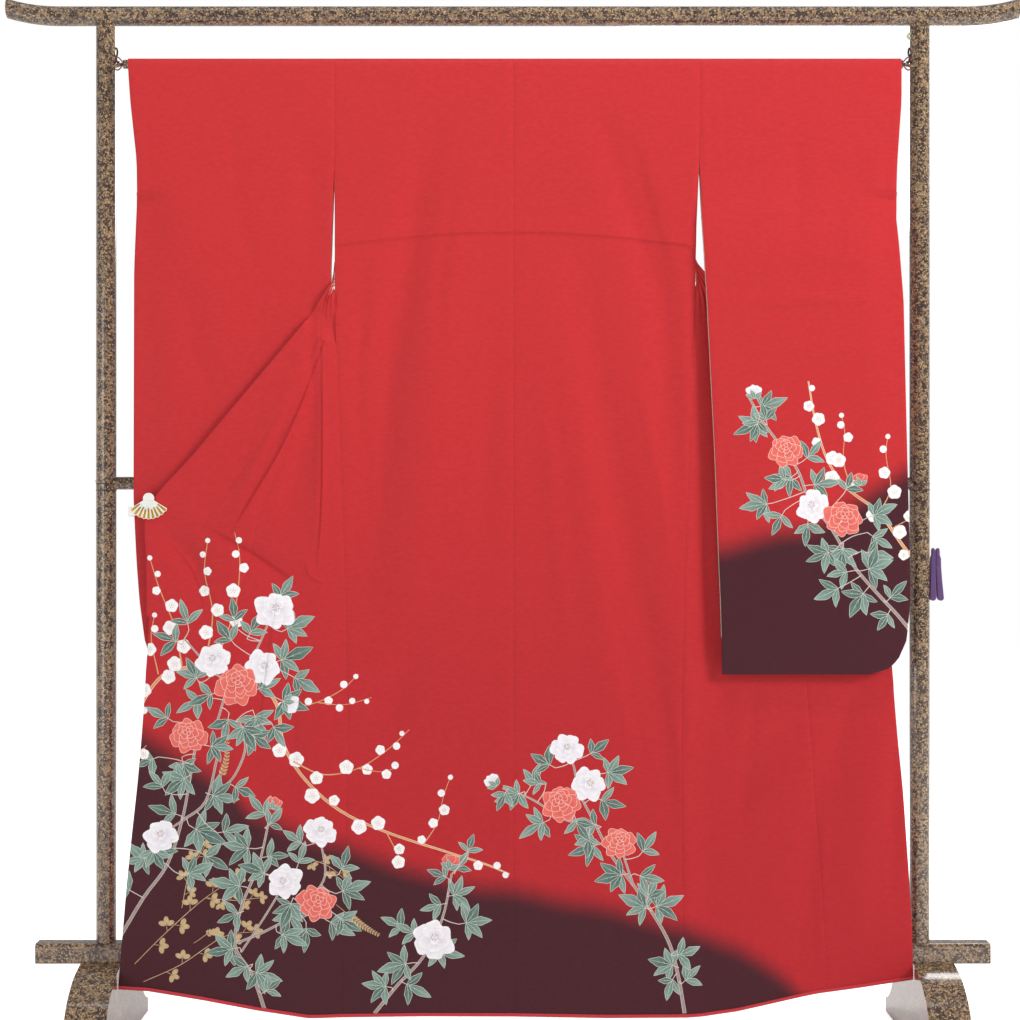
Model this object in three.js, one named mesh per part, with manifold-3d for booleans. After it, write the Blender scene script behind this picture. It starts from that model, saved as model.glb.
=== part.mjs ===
// A furisode (long-sleeved kimono) hung on a tubular kimono stand, seen from its back,
// with both front panels opened out sideways so that the whole hem is spread.
// Millimetres, +Z up. The back of the garment faces -Y; its wearer's left is -X.
// The origin is on the floor, midway between the feet.

import * as THREE from 'three';
import { mergeVertices } from 'three/addons/utils/BufferGeometryUtils.js';
import Module from 'manifold-3d';

const wasm = await Module();
wasm.setup();

// ---- driving dimensions ------------------------------------------------------------

const WALL = 1.6; // crepe, interlining and lining together
const SEAM = 0.3; // gap between neighbouring pieces

const ROD = { y: -30, z: 1678, radius: 7.5, slack: 0.8, half: 664 };
const ROLL = ROD.radius + ROD.slack + WALL; // outer radius of the cloth over the rod
const TOP = ROD.z + ROLL; // shoulder line of the hung garment

const NECK_HALF = 88; // half the width of the neck opening at the shoulder line
const COLLAR_FOLDED = 55; // width of the collar where it is folded in half
const COLLAR_COLUMNS = [0, 4, 8, 12, 16, 35, COLLAR_FOLDED]; // points across the collar
const SLEEVE = {
  bottom: 641,
  cuffEnd: 1458, // the cuff is open above this height
  cuffCorner: 6,
  edgeDepth: 4, // depth of the bag at its closed edges
  rise: 70, // how far from an edge the bag reaches its full depth
  beyond: 12, // how far its hollow runs out past an open edge
};
const TUCK = { z: 1391, sag: 23, lip: 2.6, height: 34 }; // waist tuck across the back
const HALF_BACK = 300; // from the centre seam to where a sag is measured
const HEM_ROLL = { height: 6, depth: 5 };

const STAND = {
  railZ: 1768,
  railRadius: 16.5,
  railHalf: 870,
  tipLength: 90,
  tipRise: 13,
  postX: 700,
  postRadius: 17,
  middleZ: 964,
  middleRadius: 11,
  beamHalf: 818,
  beamBottom: 140,
  beamTop: 175,
  beamDepth: 36,
};
const BEAM_CORNER = 5;
const FOOT = { left: -704, right: 719, width: 70, length: 420, crown: 144, end: 24 };
const PIN = { radius: 3, start: 3, gap: 0.6 };
const CLIP = {
  x: -616, // the fan's pivot
  z: 941,
  radius: 38,
  notched: 0.94, // a rib's valley as a share of the radius
  ribs: 9,
  spread: 1.02, // half the fan's angle, in radians
  front: -58.6, // the clip's foremost face; the cloth lies just behind the fan
  back: -31.4, // the jaw's near face, just behind the sleeve
  thick: 2.6, // of the fan
  jaw: 2.4, // of the jaw behind
  edge: -31.5, // the sleeve's edge, from the pivot
  lap: 2.5, // of the bridge outside that edge
  bridge: 0.6, // of the bridge inside it
  reach: 22, // of the jaw inside it
  low: -34, // span of the jaw, from the pivot
  high: -18,
};
const PEG = {
  x: 717.3, // its near leg lies against the post
  z: 762,
  height: 91,
  leg: 10.5,
  gap: 3,
  depth: 12,
  parted: 50, // height where the legs part
  headStart: 2, // span of the narrow head
  headEnd: 18,
  shoulder: 4,
};

// ---- tables ------------------------------------------------------------------------

// Outer face of the spread cloth (back and opened fronts) from side to side.
const SPREAD_DEPTH = [
  { x: -680, y: -55 },
  { x: -500, y: -57 },
  { x: -330, y: -54 },
  { x: -290, y: -50 },
  { x: -150, y: -46 },
  { x: 0, y: -44 },
  { x: 150, y: -43 },
  { x: 296, y: -40 },
  { x: 330, y: -31 },
  { x: 500, y: -29 },
  { x: 690, y: -29 },
];

// Side edge of the back: the slit above, the side seam below.
const SIDE_EDGE = [
  { z: 1690, left: -304, right: 318 },
  { z: 1513, left: -304, right: 317 },
  { z: 1400, left: -302.6, right: 312 },
  { z: 1292, left: -302, right: 310 },
  { z: 1100, left: -296, right: 303 },
  { z: 833, left: -286, right: 292 },
  { z: 544, left: -280, right: 286 },
  { z: 60, left: -290, right: 290 },
];

// The hem as it hangs.
const HEM = [
  { x: -690, z: 114 },
  { x: -668, z: 112 },
  { x: -617, z: 109 },
  { x: -518, z: 93 },
  { x: -430, z: 76 },
  { x: -347, z: 63 },
  { x: -150, z: 64 },
  { x: 0, z: 63 },
  { x: 160, z: 60 },
  { x: 326, z: 60 },
  { x: 382, z: 68 },
  { x: 464, z: 86 },
  { x: 520, z: 98 },
  { x: 597, z: 109 },
  { x: 690, z: 123 },
];

// Largest folds of the spread cloth: troughs have a positive depth, ridges a negative one.
const FOLDS = [
  { x0: -138, z0: 1570, x1: -206, z1: 1190, x2: -253, z2: 762, width: 28, depth: 9 },
  { x0: 150, z0: 1590, x1: 250, z1: 1290, x2: 283, z2: 867, width: 26, depth: 8 },
  { x0: 112, z0: 1345, x1: 208, z1: 762, x2: 300, z2: 357, width: 34, depth: 8 },
  { x0: -84, z0: 1480, x1: -140, z1: 1080, x2: -186, z2: 640, width: 42, depth: -6 },
  { x0: 70, z0: 1300, x1: 130, z1: 950, x2: 176, z2: 560, width: 40, depth: -5 },
  { x0: -158, z0: 740, x1: -211, z1: 549, x2: -275, z2: 500, width: 32, depth: 6 },
  { x0: 490, z0: 575, x1: 394, z1: 442, x2: 320, z2: 367, width: 34, depth: 7 },
  { x0: 585, z0: 620, x1: 522, z1: 389, x2: 490, z2: 110, width: 30, depth: 7 },
  { x0: 630, z0: 560, x1: 596, z1: 330, x2: 584, z2: 120, width: 26, depth: -4 },
  { x0: -350, z0: 1170, x1: -436, z1: 975, x2: -478, z2: 850, width: 22, depth: -7 },
  { x0: -322, z0: 1180, x1: -350, z1: 1010, x2: -380, z2: 880, width: 20, depth: 6 },
  { x0: -464, z0: 867, x1: -362, z1: 765, x2: -286, z2: 833, width: 26, depth: 5 },
  { x0: -600, z0: 905, x1: -545, z1: 833, x2: -520, z2: 740, width: 24, depth: 6 },
];

// Rows of the back below the rod; sag bends a row down towards the sides.
const BACK_ROWS = [
  { z: 1620, sag: 0 },
  { z: 1540, sag: 0 },
  { z: 1470, sag: 0 },
  { z: TUCK.z + TUCK.height, sag: TUCK.sag },
  { z: TUCK.z + 1.5, sag: TUCK.sag },
  { z: TUCK.z - 1.5, sag: TUCK.sag },
  { z: 1292, sag: 6 },
];
const SKIRT_ROWS = 13; // further rows, evenly spaced down to the hem
const ROLL_ANGLES = [SEAM / 2 / ROLL, 0.4, 0.8, 1.2]; // rows of cloth over the rod

// The opened fronts, a row for each section. Each row runs from the side edge (x0, z0) to
// the free edge (x3, z3); front and okumi are the shares of it where the okumi seam and
// the collar seam lie. The upper rows hang on the far side of the rod and are gathered
// through the slit, each at its own depth y. lay says how far a row has joined the
// spread cloth. Above the turn row the free edge is the collar seam, as the collar has
// sections of its own there.
const LEFT_GATHER = [
  { x0: -304, z0: 1500, x3: -193, z3: 1500, front: 1, okumi: 1, y: -20.1, lay: 0 },
  { x0: -304, z0: 1400, x3: -250, z3: 1400, front: 0.93, okumi: 1, y: -20.1, lay: 0 },
  { x0: -305, z0: 1322, x3: -298, z3: 1338, front: 0.72, okumi: 1, y: -22, lay: 0 },
  { x0: -305.6, z0: 1297, x3: -305, z3: 1320, front: 0.5, okumi: 0.6, y: -29, lay: 0 },
  { x0: -305.6, z0: 1291, x3: -305.8, z3: 1312, front: 0.5, okumi: 0.6, y: -38, lay: 0 },
  { x0: -305, z0: 1287, x3: -308, z3: 1304, front: 0.48, okumi: 0.6, y: -47, lay: 0 },
  { x0: -303, z0: 1262, x3: -330, z3: 1268, front: 0.42, okumi: 0.56, y: -53, lay: 0.6 },
];
const RIGHT_GATHER = [
  { x0: 317, z0: 1500, x3: 214, z3: 1500, front: 1, okumi: 1, y: -20.1, lay: 0 },
  { x0: 313, z0: 1420, x3: 268, z3: 1420, front: 0.93, okumi: 1, y: -20.1, lay: 0 },
  { x0: 311.5, z0: 1338, x3: 303, z3: 1372, front: 0.72, okumi: 1, y: -20.6, lay: 0 },
  { x0: 313, z0: 1306, x3: 310.5, z3: 1350, front: 0.5, okumi: 0.6, y: -23, lay: 0 },
  { x0: 313.5, z0: 1296, x3: 315, z3: 1340, front: 0.5, okumi: 0.6, y: -27, lay: 0 },
  { x0: 312.5, z0: 1290, x3: 325, z3: 1327, front: 0.48, okumi: 0.6, y: -30, lay: 0.2 },
  { x0: 310, z0: 1262, x3: 348, z3: 1300, front: 0.42, okumi: 0.56, y: -31, lay: 0.8 },
];
// Further rows, one for each row of the back's skirt, sewn to it along the side seam.
const LEFT_SPREAD = [
  { x3: -358, z3: 1230, front: 0.38, okumi: 0.53 },
  { x3: -442, z3: 1130, front: 0.36, okumi: 0.55 },
  { x3: -540, z3: 1013, front: 0.38, okumi: 0.6 },
  { x3: -617, z3: 921, front: 0.42, okumi: 0.66 },
  { x3: -620, z3: 826, front: 0.49, okumi: 0.84 },
  { x3: -620, z3: 738, front: 0.57, okumi: 0.985 },
  { x3: -621, z3: 645, front: 0.59, okumi: 1 },
  { x3: -627, z3: 550, front: 0.6, okumi: 1 },
  { x3: -635, z3: 458, front: 0.6, okumi: 1 },
  { x3: -645, z3: 366, front: 0.61, okumi: 1 },
  { x3: -654, z3: 276, front: 0.615, okumi: 1 },
  { x3: -661, z3: 194, front: 0.62, okumi: 1 },
  { x3: -668, z3: 112, front: 0.62, okumi: 1 },
];
const RIGHT_SPREAD = [
  { x3: 382, z3: 1250, front: 0.38, okumi: 0.53 },
  { x3: 459, z3: 1140, front: 0.36, okumi: 0.55 },
  { x3: 550, z3: 1010, front: 0.38, okumi: 0.6 },
  { x3: 649, z3: 868, front: 0.42, okumi: 0.66 },
  { x3: 650, z3: 790, front: 0.49, okumi: 0.84 },
  { x3: 649, z3: 710, front: 0.57, okumi: 0.985 },
  { x3: 649, z3: 625, front: 0.59, okumi: 1 },
  { x3: 656, z3: 535, front: 0.6, okumi: 1 },
  { x3: 665, z3: 445, front: 0.6, okumi: 1 },
  { x3: 671, z3: 360, front: 0.61, okumi: 1 },
  { x3: 677, z3: 275, front: 0.615, okumi: 1 },
  { x3: 681, z3: 198, front: 0.62, okumi: 1 },
  { x3: 683, z3: 121.5, front: 0.62, okumi: 1 },
];
const OKUMI_TOP = 1; // gather row where the okumi starts, as a point on the collar seam
const TURN = 3; // from this gather row on the collar follows the rows of the front
const COLLAR_END = 5; // spread row where the collar ends on the free edge
const DIVIDED = [0, 1, 8, 9]; // rows below the rod that have another row under them

// The collar on the far side of the rod: the way it runs across from its seam, how
// tightly it is squeezed towards the slit, and its width there.
const FAR_COLLAR = [
  { z: 1350, across: 0.88, down: 0.48, squeezed: 1, width: 0.3 },
  { z: 1400, across: 0.88, down: 0.48, squeezed: 1, width: 0.53 },
  { z: 1440, across: 0.88, down: 0.48, squeezed: 0.65, width: 0.84 },
  { z: 1480, across: 0.88, down: 0.48, squeezed: 0.1, width: 1 },
  { z: 1500, across: 0.88, down: 0.48, squeezed: 0, width: 1 },
  { z: 1560, across: 0.88, down: 0.48, squeezed: 0, width: 1 },
  { z: ROD.z, across: 0.58, down: 1, squeezed: 0, width: 1 },
];

// Heights of the sleeves' sections, and the angles of those over the rod.
const SLEEVE_LEVELS = [652, 668, 697, 765, 833, 935, 1020, 1120, 1200, 1262, 1272, 1282];
const CUFF_LEVELS = [1360, 1440, SLEEVE.cuffEnd - SLEEVE.cuffCorner, SLEEVE.cuffEnd, 1513, 1600];
const SLEEVE_ROLL = [0.2, 0.6, 1.1];

// Outline of each sleeve and the depth of its two layers below the armhole.
const LEFT_SLEEVE = {
  side: -1,
  near: -44,
  far: -27,
  hangsFrom: 1300,
  rows: [
    { z: 641, inner: -309, outer: -572 },
    { z: 648, inner: -309, outer: -597 },
    { z: 665, inner: -309, outer: -614 },
    { z: 697, inner: -309, outer: -625 },
    { z: 765, inner: -309, outer: -634 },
    { z: 833, inner: -309, outer: -639 },
    { z: 935, inner: -309, outer: -644 },
    { z: 1326, inner: -309.4, outer: -643 },
    { z: 1445, inner: -306, outer: -639 },
    { z: 1513, inner: -304, outer: -640 },
    { z: 1615, inner: -304, outer: -651 },
    { z: 1690, inner: -304, outer: -656 },
  ],
  folds: [
    { x0: -350, z0: 1560, x1: -344, z1: 1420, x2: -338, z2: 1300, width: 26, depth: 3 },
    { x0: -600, z0: 1560, x1: -520, z1: 1330, x2: -470, z2: 1120, width: 40, depth: -2.5 },
  ],
};
const RIGHT_SLEEVE = {
  side: 1,
  near: -54,
  far: -38,
  hangsFrom: 1350,
  rows: [
    { z: 641, inner: 355, outer: 604 },
    { z: 648, inner: 355, outer: 634 },
    { z: 665, inner: 354.5, outer: 652 },
    { z: 697, inner: 354, outer: 666 },
    { z: 765, inner: 352, outer: 673 },
    { z: 833, inner: 349, outer: 672 },
    { z: 1020, inner: 342, outer: 667 },
    { z: 1275, inner: 329, outer: 661 },
    { z: 1411, inner: 321, outer: 650 },
    { z: 1513, inner: 317.6, outer: 654 },
    { z: 1615, inner: 318, outer: 661 },
    { z: 1690, inner: 318, outer: 661 },
  ],
  folds: [
    { x0: 390, z0: 1268, x1: 520, z1: 1272, x2: 652, z2: 1270, width: 14, depth: -3.5 },
    { x0: 400, z0: 1100, x1: 430, z1: 950, x2: 440, z2: 800, width: 46, depth: -3 },
    { x0: 600, z0: 1180, x1: 560, z1: 1000, x2: 575, z2: 820, width: 40, depth: 3 },
  ],
};

// Convex top of a foot, from its middle to its end.
const FOOT_TOP = [
  { y: 72, z: 131 },
  { y: 102, z: 116 },
  { y: 127, z: 97 },
  { y: 144, z: 74 },
  { y: 164, z: 49 },
  { y: 188, z: 32 },
];

// ---- small helpers -----------------------------------------------------------------

const mix = (a, b, t) => a + (b - a) * t;
const clamp = (t) => Math.min(1, Math.max(0, t));

function ease(from, to, value) {
  const t = clamp((value - from) / (to - from));
  return t * t * (3 - 2 * t);
}

// Reads a column of a table at a value of its key column, straight between rows.
function read(table, key, value, column) {
  const rising = table[table.length - 1][key] > table[0][key];
  for (let i = 1; i < table.length; i++) {
    const before = rising ? value <= table[i][key] : value >= table[i][key];
    if (before || i === table.length - 1) {
      const t = (value - table[i - 1][key]) / (table[i][key] - table[i - 1][key]);
      return mix(table[i - 1][column], table[i][column], clamp(t));
    }
  }
}

// Distance from a point to a fold's line, and how far along it the point lies, 0 to 1.
function alongFold(fold, x, z) {
  const points = [
    [fold.x0, fold.z0],
    [fold.x1, fold.z1],
    [fold.x2, fold.z2],
  ];
  let best = { distance: Infinity, share: 0 };
  for (let i = 0; i < 2; i++) {
    const [ax, az] = points[i];
    const [bx, bz] = points[i + 1];
    const length2 = (bx - ax) ** 2 + (bz - az) ** 2;
    const t = clamp(((x - ax) * (bx - ax) + (z - az) * (bz - az)) / length2);
    const distance = Math.hypot(x - mix(ax, bx, t), z - mix(az, bz, t));
    if (distance < best.distance) {
      best = { distance, share: (i + t) / 2 };
    }
  }
  return best;
}

function foldRelief(folds, x, z) {
  let sum = 0;
  for (const fold of folds) {
    const { distance, share } = alongFold(fold, x, z);
    const taper = Math.sin(Math.PI * clamp(0.08 + 0.84 * share));
    sum += fold.depth * taper * Math.exp(-((distance / fold.width) ** 2));
  }
  return sum;
}

// Height of a line across the back that sags towards the sides.
const sagging = (line, x) => line.z - line.sag * (x / HALF_BACK) ** 2;

// The lip of the waist tuck: raised above its line, flat below it.
function tuckRelief(x, z) {
  const above = z - sagging(TUCK, x);
  if (above < 0 || above > TUCK.height || Math.abs(x) > 1.1 * HALF_BACK) {
    return 0;
  }
  return -TUCK.lip * (1 - above / TUCK.height);
}

// Depth of the outer face of the spread cloth.
function spreadY(x, z) {
  const hung = ROD.y - ROLL;
  const low = read(SPREAD_DEPTH, 'x', x, 'y');
  const base = mix(hung, low, ease(1500, 1200, z));
  const free = ease(1660, 1560, z);
  return base + free * (foldRelief(FOLDS, x, z) + tuckRelief(x, z));
}

// ---- solids ------------------------------------------------------------------------

function closedGeometry(points, faces) {
  const geometry = new THREE.BufferGeometry();
  geometry.setAttribute('position', new THREE.Float32BufferAttribute(points.flat(), 3));
  geometry.setIndex(faces.flat());
  return geometry;
}

// A wall from a grid of outer and inner points. Rows run down and columns run to the
// right, as seen from outside.
function wallSolid(outer, inner) {
  const rows = outer.length;
  const columns = outer[0].length;
  const points = [...outer.flat(), ...inner.flat()];
  const at = (layer, r, c) => layer * rows * columns + r * columns + c;
  const faces = [];
  const quad = (a, b, c, d) => faces.push([a, b, c], [a, c, d]);
  for (let r = 0; r < rows - 1; r++) {
    for (let c = 0; c < columns - 1; c++) {
      quad(at(0, r, c), at(0, r + 1, c), at(0, r + 1, c + 1), at(0, r, c + 1));
      quad(at(1, r, c), at(1, r, c + 1), at(1, r + 1, c + 1), at(1, r + 1, c));
    }
    const last = columns - 1;
    quad(at(0, r, 0), at(1, r, 0), at(1, r + 1, 0), at(0, r + 1, 0));
    quad(at(0, r, last), at(0, r + 1, last), at(1, r + 1, last), at(1, r, last));
  }
  for (let c = 0; c < columns - 1; c++) {
    const last = rows - 1;
    quad(at(0, 0, c), at(0, 0, c + 1), at(1, 0, c + 1), at(1, 0, c));
    quad(at(0, last, c), at(1, last, c), at(1, last, c + 1), at(0, last, c + 1));
  }
  return closedGeometry(points, faces);
}

function ring(sides, pointAt) {
  return Array.from({ length: sides }, (_, i) => {
    const angle = (2 * Math.PI * i) / sides;
    return pointAt(Math.sin(angle), Math.cos(angle));
  });
}

// A bar through rings that follow each other along +X, with flat ends.
function loftSolid(rings) {
  const sides = rings[0].length;
  const faces = [];
  for (let r = 0; r < rings.length - 1; r++) {
    for (let i = 0; i < sides; i++) {
      const j = (i + 1) % sides;
      const [a, b] = [r * sides + i, r * sides + j];
      faces.push([a, a + sides, b + sides], [a, b + sides, b]);
    }
  }
  const last = (rings.length - 1) * sides;
  for (let i = 1; i < sides - 1; i++) {
    faces.push([0, i, i + 1], [last, last + i + 1, last + i]);
  }
  return closedGeometry(rings.flat(), faces);
}

function toManifold(geometry) {
  const bare = geometry.clone();
  bare.deleteAttribute('normal');
  bare.deleteAttribute('uv');
  const merged = mergeVertices(bare, 1e-4);
  const mesh = new wasm.Mesh({
    numProp: 3,
    vertProperties: merged.attributes.position.array,
    triVerts: new Uint32Array(merged.index.array),
  });
  return new wasm.Manifold(mesh);
}

function fromManifold(solid) {
  const mesh = solid.getMesh();
  const geometry = new THREE.BufferGeometry();
  const position = new THREE.Float32BufferAttribute(mesh.vertProperties, 3);
  geometry.setAttribute('position', position);
  geometry.setIndex([...mesh.triVerts]);
  return geometry;
}

function cylinderAlong(axis, radius, from, to, sides = 24) {
  const length = to - from;
  const geometry = new THREE.CylinderGeometry(radius, radius, length, sides);
  if (axis === 'x') {
    geometry.rotateZ(-Math.PI / 2);
    geometry.translate((from + to) / 2, 0, 0);
  } else {
    geometry.rotateX(Math.PI / 2);
    geometry.translate(0, 0, (from + to) / 2);
  }
  return geometry;
}

const CREPE_RED = { color: 0xc63a3a, roughness: 0.62, metalness: 0 };
const LINING_RED = { color: 0xb8303a, roughness: 0.6, metalness: 0 };
const LACQUER = { color: 0x5f4a3a, roughness: 0.3, metalness: 0 };
const WHITE_PLASTIC = { color: 0xf2efe6, roughness: 0.35, metalness: 0 };
const PURPLE_PLASTIC = { color: 0x6b4a80, roughness: 0.4, metalness: 0 };

const furisode = new THREE.Group();

function addPiece(name, geometry, finish) {
  const mesh = new THREE.Mesh(geometry, new THREE.MeshStandardMaterial(finish));
  mesh.name = name;
  furisode.add(mesh);
}

// ---- back --------------------------------------------------------------------------

// A point of the cloth rolled over the rod: angle 0 is its top, a quarter turn its side.
function rolled(x, angle, side, radius) {
  const y = ROD.y + side * radius * Math.sin(angle);
  return [x, y, ROD.z + radius * Math.cos(angle)];
}

// Height of a skirt row of the back at a place across it: row 0 is its top, the last
// one the hem.
function skirtZ(x, row) {
  const top = sagging(BACK_ROWS[BACK_ROWS.length - 1], x);
  return mix(top, read(HEM, 'x', x, 'z'), row / SKIRT_ROWS);
}

const hemEdges = []; // bottom edges of all the panels, for the roll below them

function backPanel(side) {
  const edge = side < 0 ? 'left' : 'right';
  const columns = 11;
  const outer = [];
  const inner = [];
  const columnX = (c, z) => {
    const seam = (side * SEAM) / 2;
    const outside = read(SIDE_EDGE, 'z', z, edge) - seam;
    const share = c / (columns - 1);
    return side < 0 ? mix(outside, seam, share) : mix(seam, outside, share);
  };
  const addRow = (zAt) => {
    const row = [];
    for (let c = 0; c < columns; c++) {
      const z = zAt(columnX(c, zAt(columnX(c, TOP))));
      const x = columnX(c, z);
      row.push([x, spreadY(x, z), z]);
    }
    outer.push(row);
    inner.push(row.map(([x, y, z]) => [x, y + WALL, z]));
  };
  for (const angle of ROLL_ANGLES) {
    const xs = Array.from({ length: columns }, (_, c) => columnX(c, TOP));
    outer.push(xs.map((x) => rolled(x, angle, -1, ROLL)));
    inner.push(xs.map((x) => rolled(x, angle, -1, ROLL - WALL)));
  }
  addRow(() => ROD.z);
  for (const line of BACK_ROWS) {
    addRow((x) => sagging(line, x));
  }
  for (let r = 1; r <= SKIRT_ROWS; r++) {
    addRow((x) => skirtZ(x, r));
  }
  hemEdges.push(...outer[outer.length - 1]);
  return wallSolid(outer, inner);
}

// ---- fronts, okumi and collar ------------------------------------------------------

// The rows of a front: over the rod, gathered, spread, and each with extra rows between.
function frontRows(name, gather, spread) {
  const edge = (z) => read(SIDE_EDGE, 'z', z, name);
  const x0 = edge(TOP);
  const x3 = Math.sign(x0) * NECK_HALF;
  const whole = { front: 1, okumi: 1, lay: 0 };
  const overRod = ROLL_ANGLES.map((angle) => ({ ...whole, angle, x0, x3 }));
  const belowRod = { ...whole, x0, z0: ROD.z, x3, z3: ROD.z, y: ROD.y + ROLL };
  const skirt = spread.map((row, i) => {
    const z0 = skirtZ(edge(skirtZ(x0, i + 1)), i + 1);
    return { y: 0, lay: 1, ...row, z0, x0: edge(z0) };
  });
  const listed = [belowRod, ...gather, ...skirt];
  const rows = [...overRod];
  listed.forEach((row, i) => {
    row.index = i;
    rows.push(row);
    if (DIVIDED.includes(i)) {
      rows.push(rowBetween(listed, i));
    }
  });
  rows[rows.length - 1].onHem = true;
  return rows;
}

// A row halfway between two listed ones. The free edge bends smoothly through it, and the
// side edge stays straight, as the seam beside it is.
function rowBetween(rows, i) {
  const row = {};
  for (const key of ['x0', 'z0', 'x3', 'z3', 'front', 'okumi', 'y', 'lay']) {
    row[key] = (rows[i][key] + rows[i + 1][key]) / 2;
  }
  if (rows[i].lay === 1) {
    for (const key of ['x3', 'z3']) {
      const [a, b, c, d] = [-1, 0, 1, 2].map((k) => rows[i + k][key]);
      row[key] += (b + c - a - d) / 16;
    }
  }
  return row;
}

// A point of a front's row at a share of its width from the side edge, moved by a few
// tenths of a millimetre along the row to leave the seam open.
function frontPoint(row, share, shift = 0) {
  if (row.angle !== undefined) {
    const x = mix(row.x0, row.x3, share) + shift * Math.sign(row.x3 - row.x0);
    return rolled(x, row.angle, 1, ROLL);
  }
  const length = Math.hypot(row.x3 - row.x0, row.z3 - row.z0);
  const s = share + shift / length;
  const x = mix(row.x0, row.x3, s);
  const z = row.onHem ? read(HEM, 'x', x, 'z') : mix(row.z0, row.z3, s);
  return [x, mix(row.y, spreadY(x, z), row.lay), z];
}

// Which way a front's wall is thick at a point, pointing outside.
function frontNormal(rows, r, share, side) {
  const row = rows[r];
  if (row.angle !== undefined) {
    return new THREE.Vector3(0, Math.sin(row.angle), Math.cos(row.angle));
  }
  const next = rows[Math.min(r + 1, rows.length - 1)];
  const pointAt = (other, at) => new THREE.Vector3(...frontPoint(other, clamp(at)));
  const along = pointAt(row, share + 0.05).sub(pointAt(row, share - 0.05));
  const down = pointAt(next, share).sub(pointAt(rows[r - 1], share));
  const normal = along.cross(down);
  normal.multiplyScalar(-side).normalize();
  return normal.lerp(new THREE.Vector3(0, -1, 0), row.lay).normalize();
}

// One panel of a front from its first row down. span gives the shares of a row where its
// two seams lie.
function frontStrip(rows, side, { columns, firstRow, span }) {
  const outer = [];
  const inner = [];
  for (let r = firstRow; r < rows.length; r++) {
    const row = rows[r];
    const [start, end] = span(row);
    const line = [];
    for (let c = 0; c < columns; c++) {
      const t = c / (columns - 1);
      const share = mix(start, end, t);
      const point = frontPoint(row, share, mix(SEAM / 2, -SEAM / 2, t));
      line.push({ point, normal: frontNormal(rows, r, share, side).toArray() });
    }
    if (side < 0) {
      line.reverse();
    }
    outer.push(line.map(({ point }) => point));
    inner.push(line.map(insidePoint));
  }
  hemEdges.push(...outer[outer.length - 1]);
  return wallSolid(outer, inner);
}

const insidePoint = ({ point, normal }) => point.map((v, i) => v - WALL * normal[i]);

function buildFront(name, side, gather, spread) {
  const rows = frontRows(name, gather, spread);
  const find = (index) => rows.findIndex((row) => row.index === index);
  const panel = { columns: 8, firstRow: 0, span: (row) => [0, row.front] };
  const okumiTop = find(1 + OKUMI_TOP);
  const overlap = { columns: 5, firstRow: okumiTop, span: (row) => [row.front, row.okumi] };
  addPiece(`front_${name}`, frontStrip(rows, side, panel), CREPE_RED);
  addPiece(`okumi_${name}`, frontStrip(rows, side, overlap), CREPE_RED);
  return { rows, side, turn: find(1 + TURN), end: find(1 + gather.length + COLLAR_END) };
}

// ---- collar ------------------------------------------------------------------------

// Rolls a flat point of the far side over the rod; down is its distance along the cloth
// from the shoulder line.
function farSide(x, down) {
  const arc = (ROLL * Math.PI) / 2;
  if (down >= arc) {
    return { point: [x, ROD.y + ROLL, ROD.z - (down - arc)], normal: [0, 1, 0] };
  }
  const angle = down / ROLL;
  const normal = [0, Math.sin(angle), Math.cos(angle)];
  return { point: rolled(x, angle, 1, ROLL), normal };
}

// The collar is one band: up the left front's edge, round the back of the neck, where it
// lies folded over the rod, and down the right front's edge. A half's sections are
// listed from its end to the neck, each from the seam to the outer edge.
function collarHalf({ rows, side, turn, end }) {
  const sections = [];
  for (let r = end; r >= turn; r--) {
    sections.push(
      COLLAR_COLUMNS.map((down) => {
        const t = down / COLLAR_FOLDED;
        const share = mix(rows[r].okumi, 1, t);
        const point = frontPoint(rows[r], share, mix(SEAM / 2, 0, t));
        return { point, normal: frontNormal(rows, r, share, side).toArray() };
      }),
    );
  }
  for (let r = turn - 1; r >= 0; r--) {
    sections.push(flatSection(farPlace(rows[r], side)));
  }
  sections.push(flatSection({ seam: [(side * NECK_HALF) / 2, 0], across: [0, -1] }));
  return sections;
}

// Where a section of the collar starts at the edge of a far row, and the way it runs.
function farPlace(row, side) {
  const shape = (column) => read(FAR_COLLAR, 'z', row.z3 ?? ROD.z, column);
  if (row.angle !== undefined) {
    const seam = [side * NECK_HALF, ROLL * row.angle];
    return { seam, across: [-side * shape('across'), -shape('down')] };
  }
  const length = Math.hypot(row.x3 - row.x0, row.z3 - row.z0);
  const squeezed = shape('squeezed');
  return {
    seam: [row.x3, farDown(row.z3)],
    across: [
      mix(-side * shape('across'), (row.x3 - row.x0) / length, squeezed),
      mix(-shape('down'), (row.z3 - row.z0) / length, squeezed),
    ],
    width: COLLAR_FOLDED * shape('width'),
    back: row.y - (ROD.y + ROLL),
  };
}

// How far down the cloth a height of the far side lies from the shoulder line.
function farDown(height) {
  return (ROLL * Math.PI) / 2 + ROD.z - height;
}

// A section of the collar on the far side, moved back by a depth.
function flatSection({ seam, across, width = COLLAR_FOLDED, back = 0 }) {
  return COLLAR_COLUMNS.map((down) => {
    const reach = mix(1.5 * SEAM, width, down / COLLAR_FOLDED);
    const { point, normal } = farSide(seam[0] + across[0] * reach, seam[1] - across[1] * reach);
    return { point: [point[0], point[1] + back, point[2]], normal };
  });
}

function buildCollar(left, right) {
  const middle = flatSection({ seam: [0, 0], across: [0, -1] });
  const sections = [...collarHalf(left), middle, ...collarHalf(right).reverse()];
  const outer = sections.map((line) => line.map(({ point }) => point));
  const inner = sections.map((line) => line.map(insidePoint));
  addPiece('collar', wallSolid(outer, inner), CREPE_RED);
}

// ---- sleeves -----------------------------------------------------------------------

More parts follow.
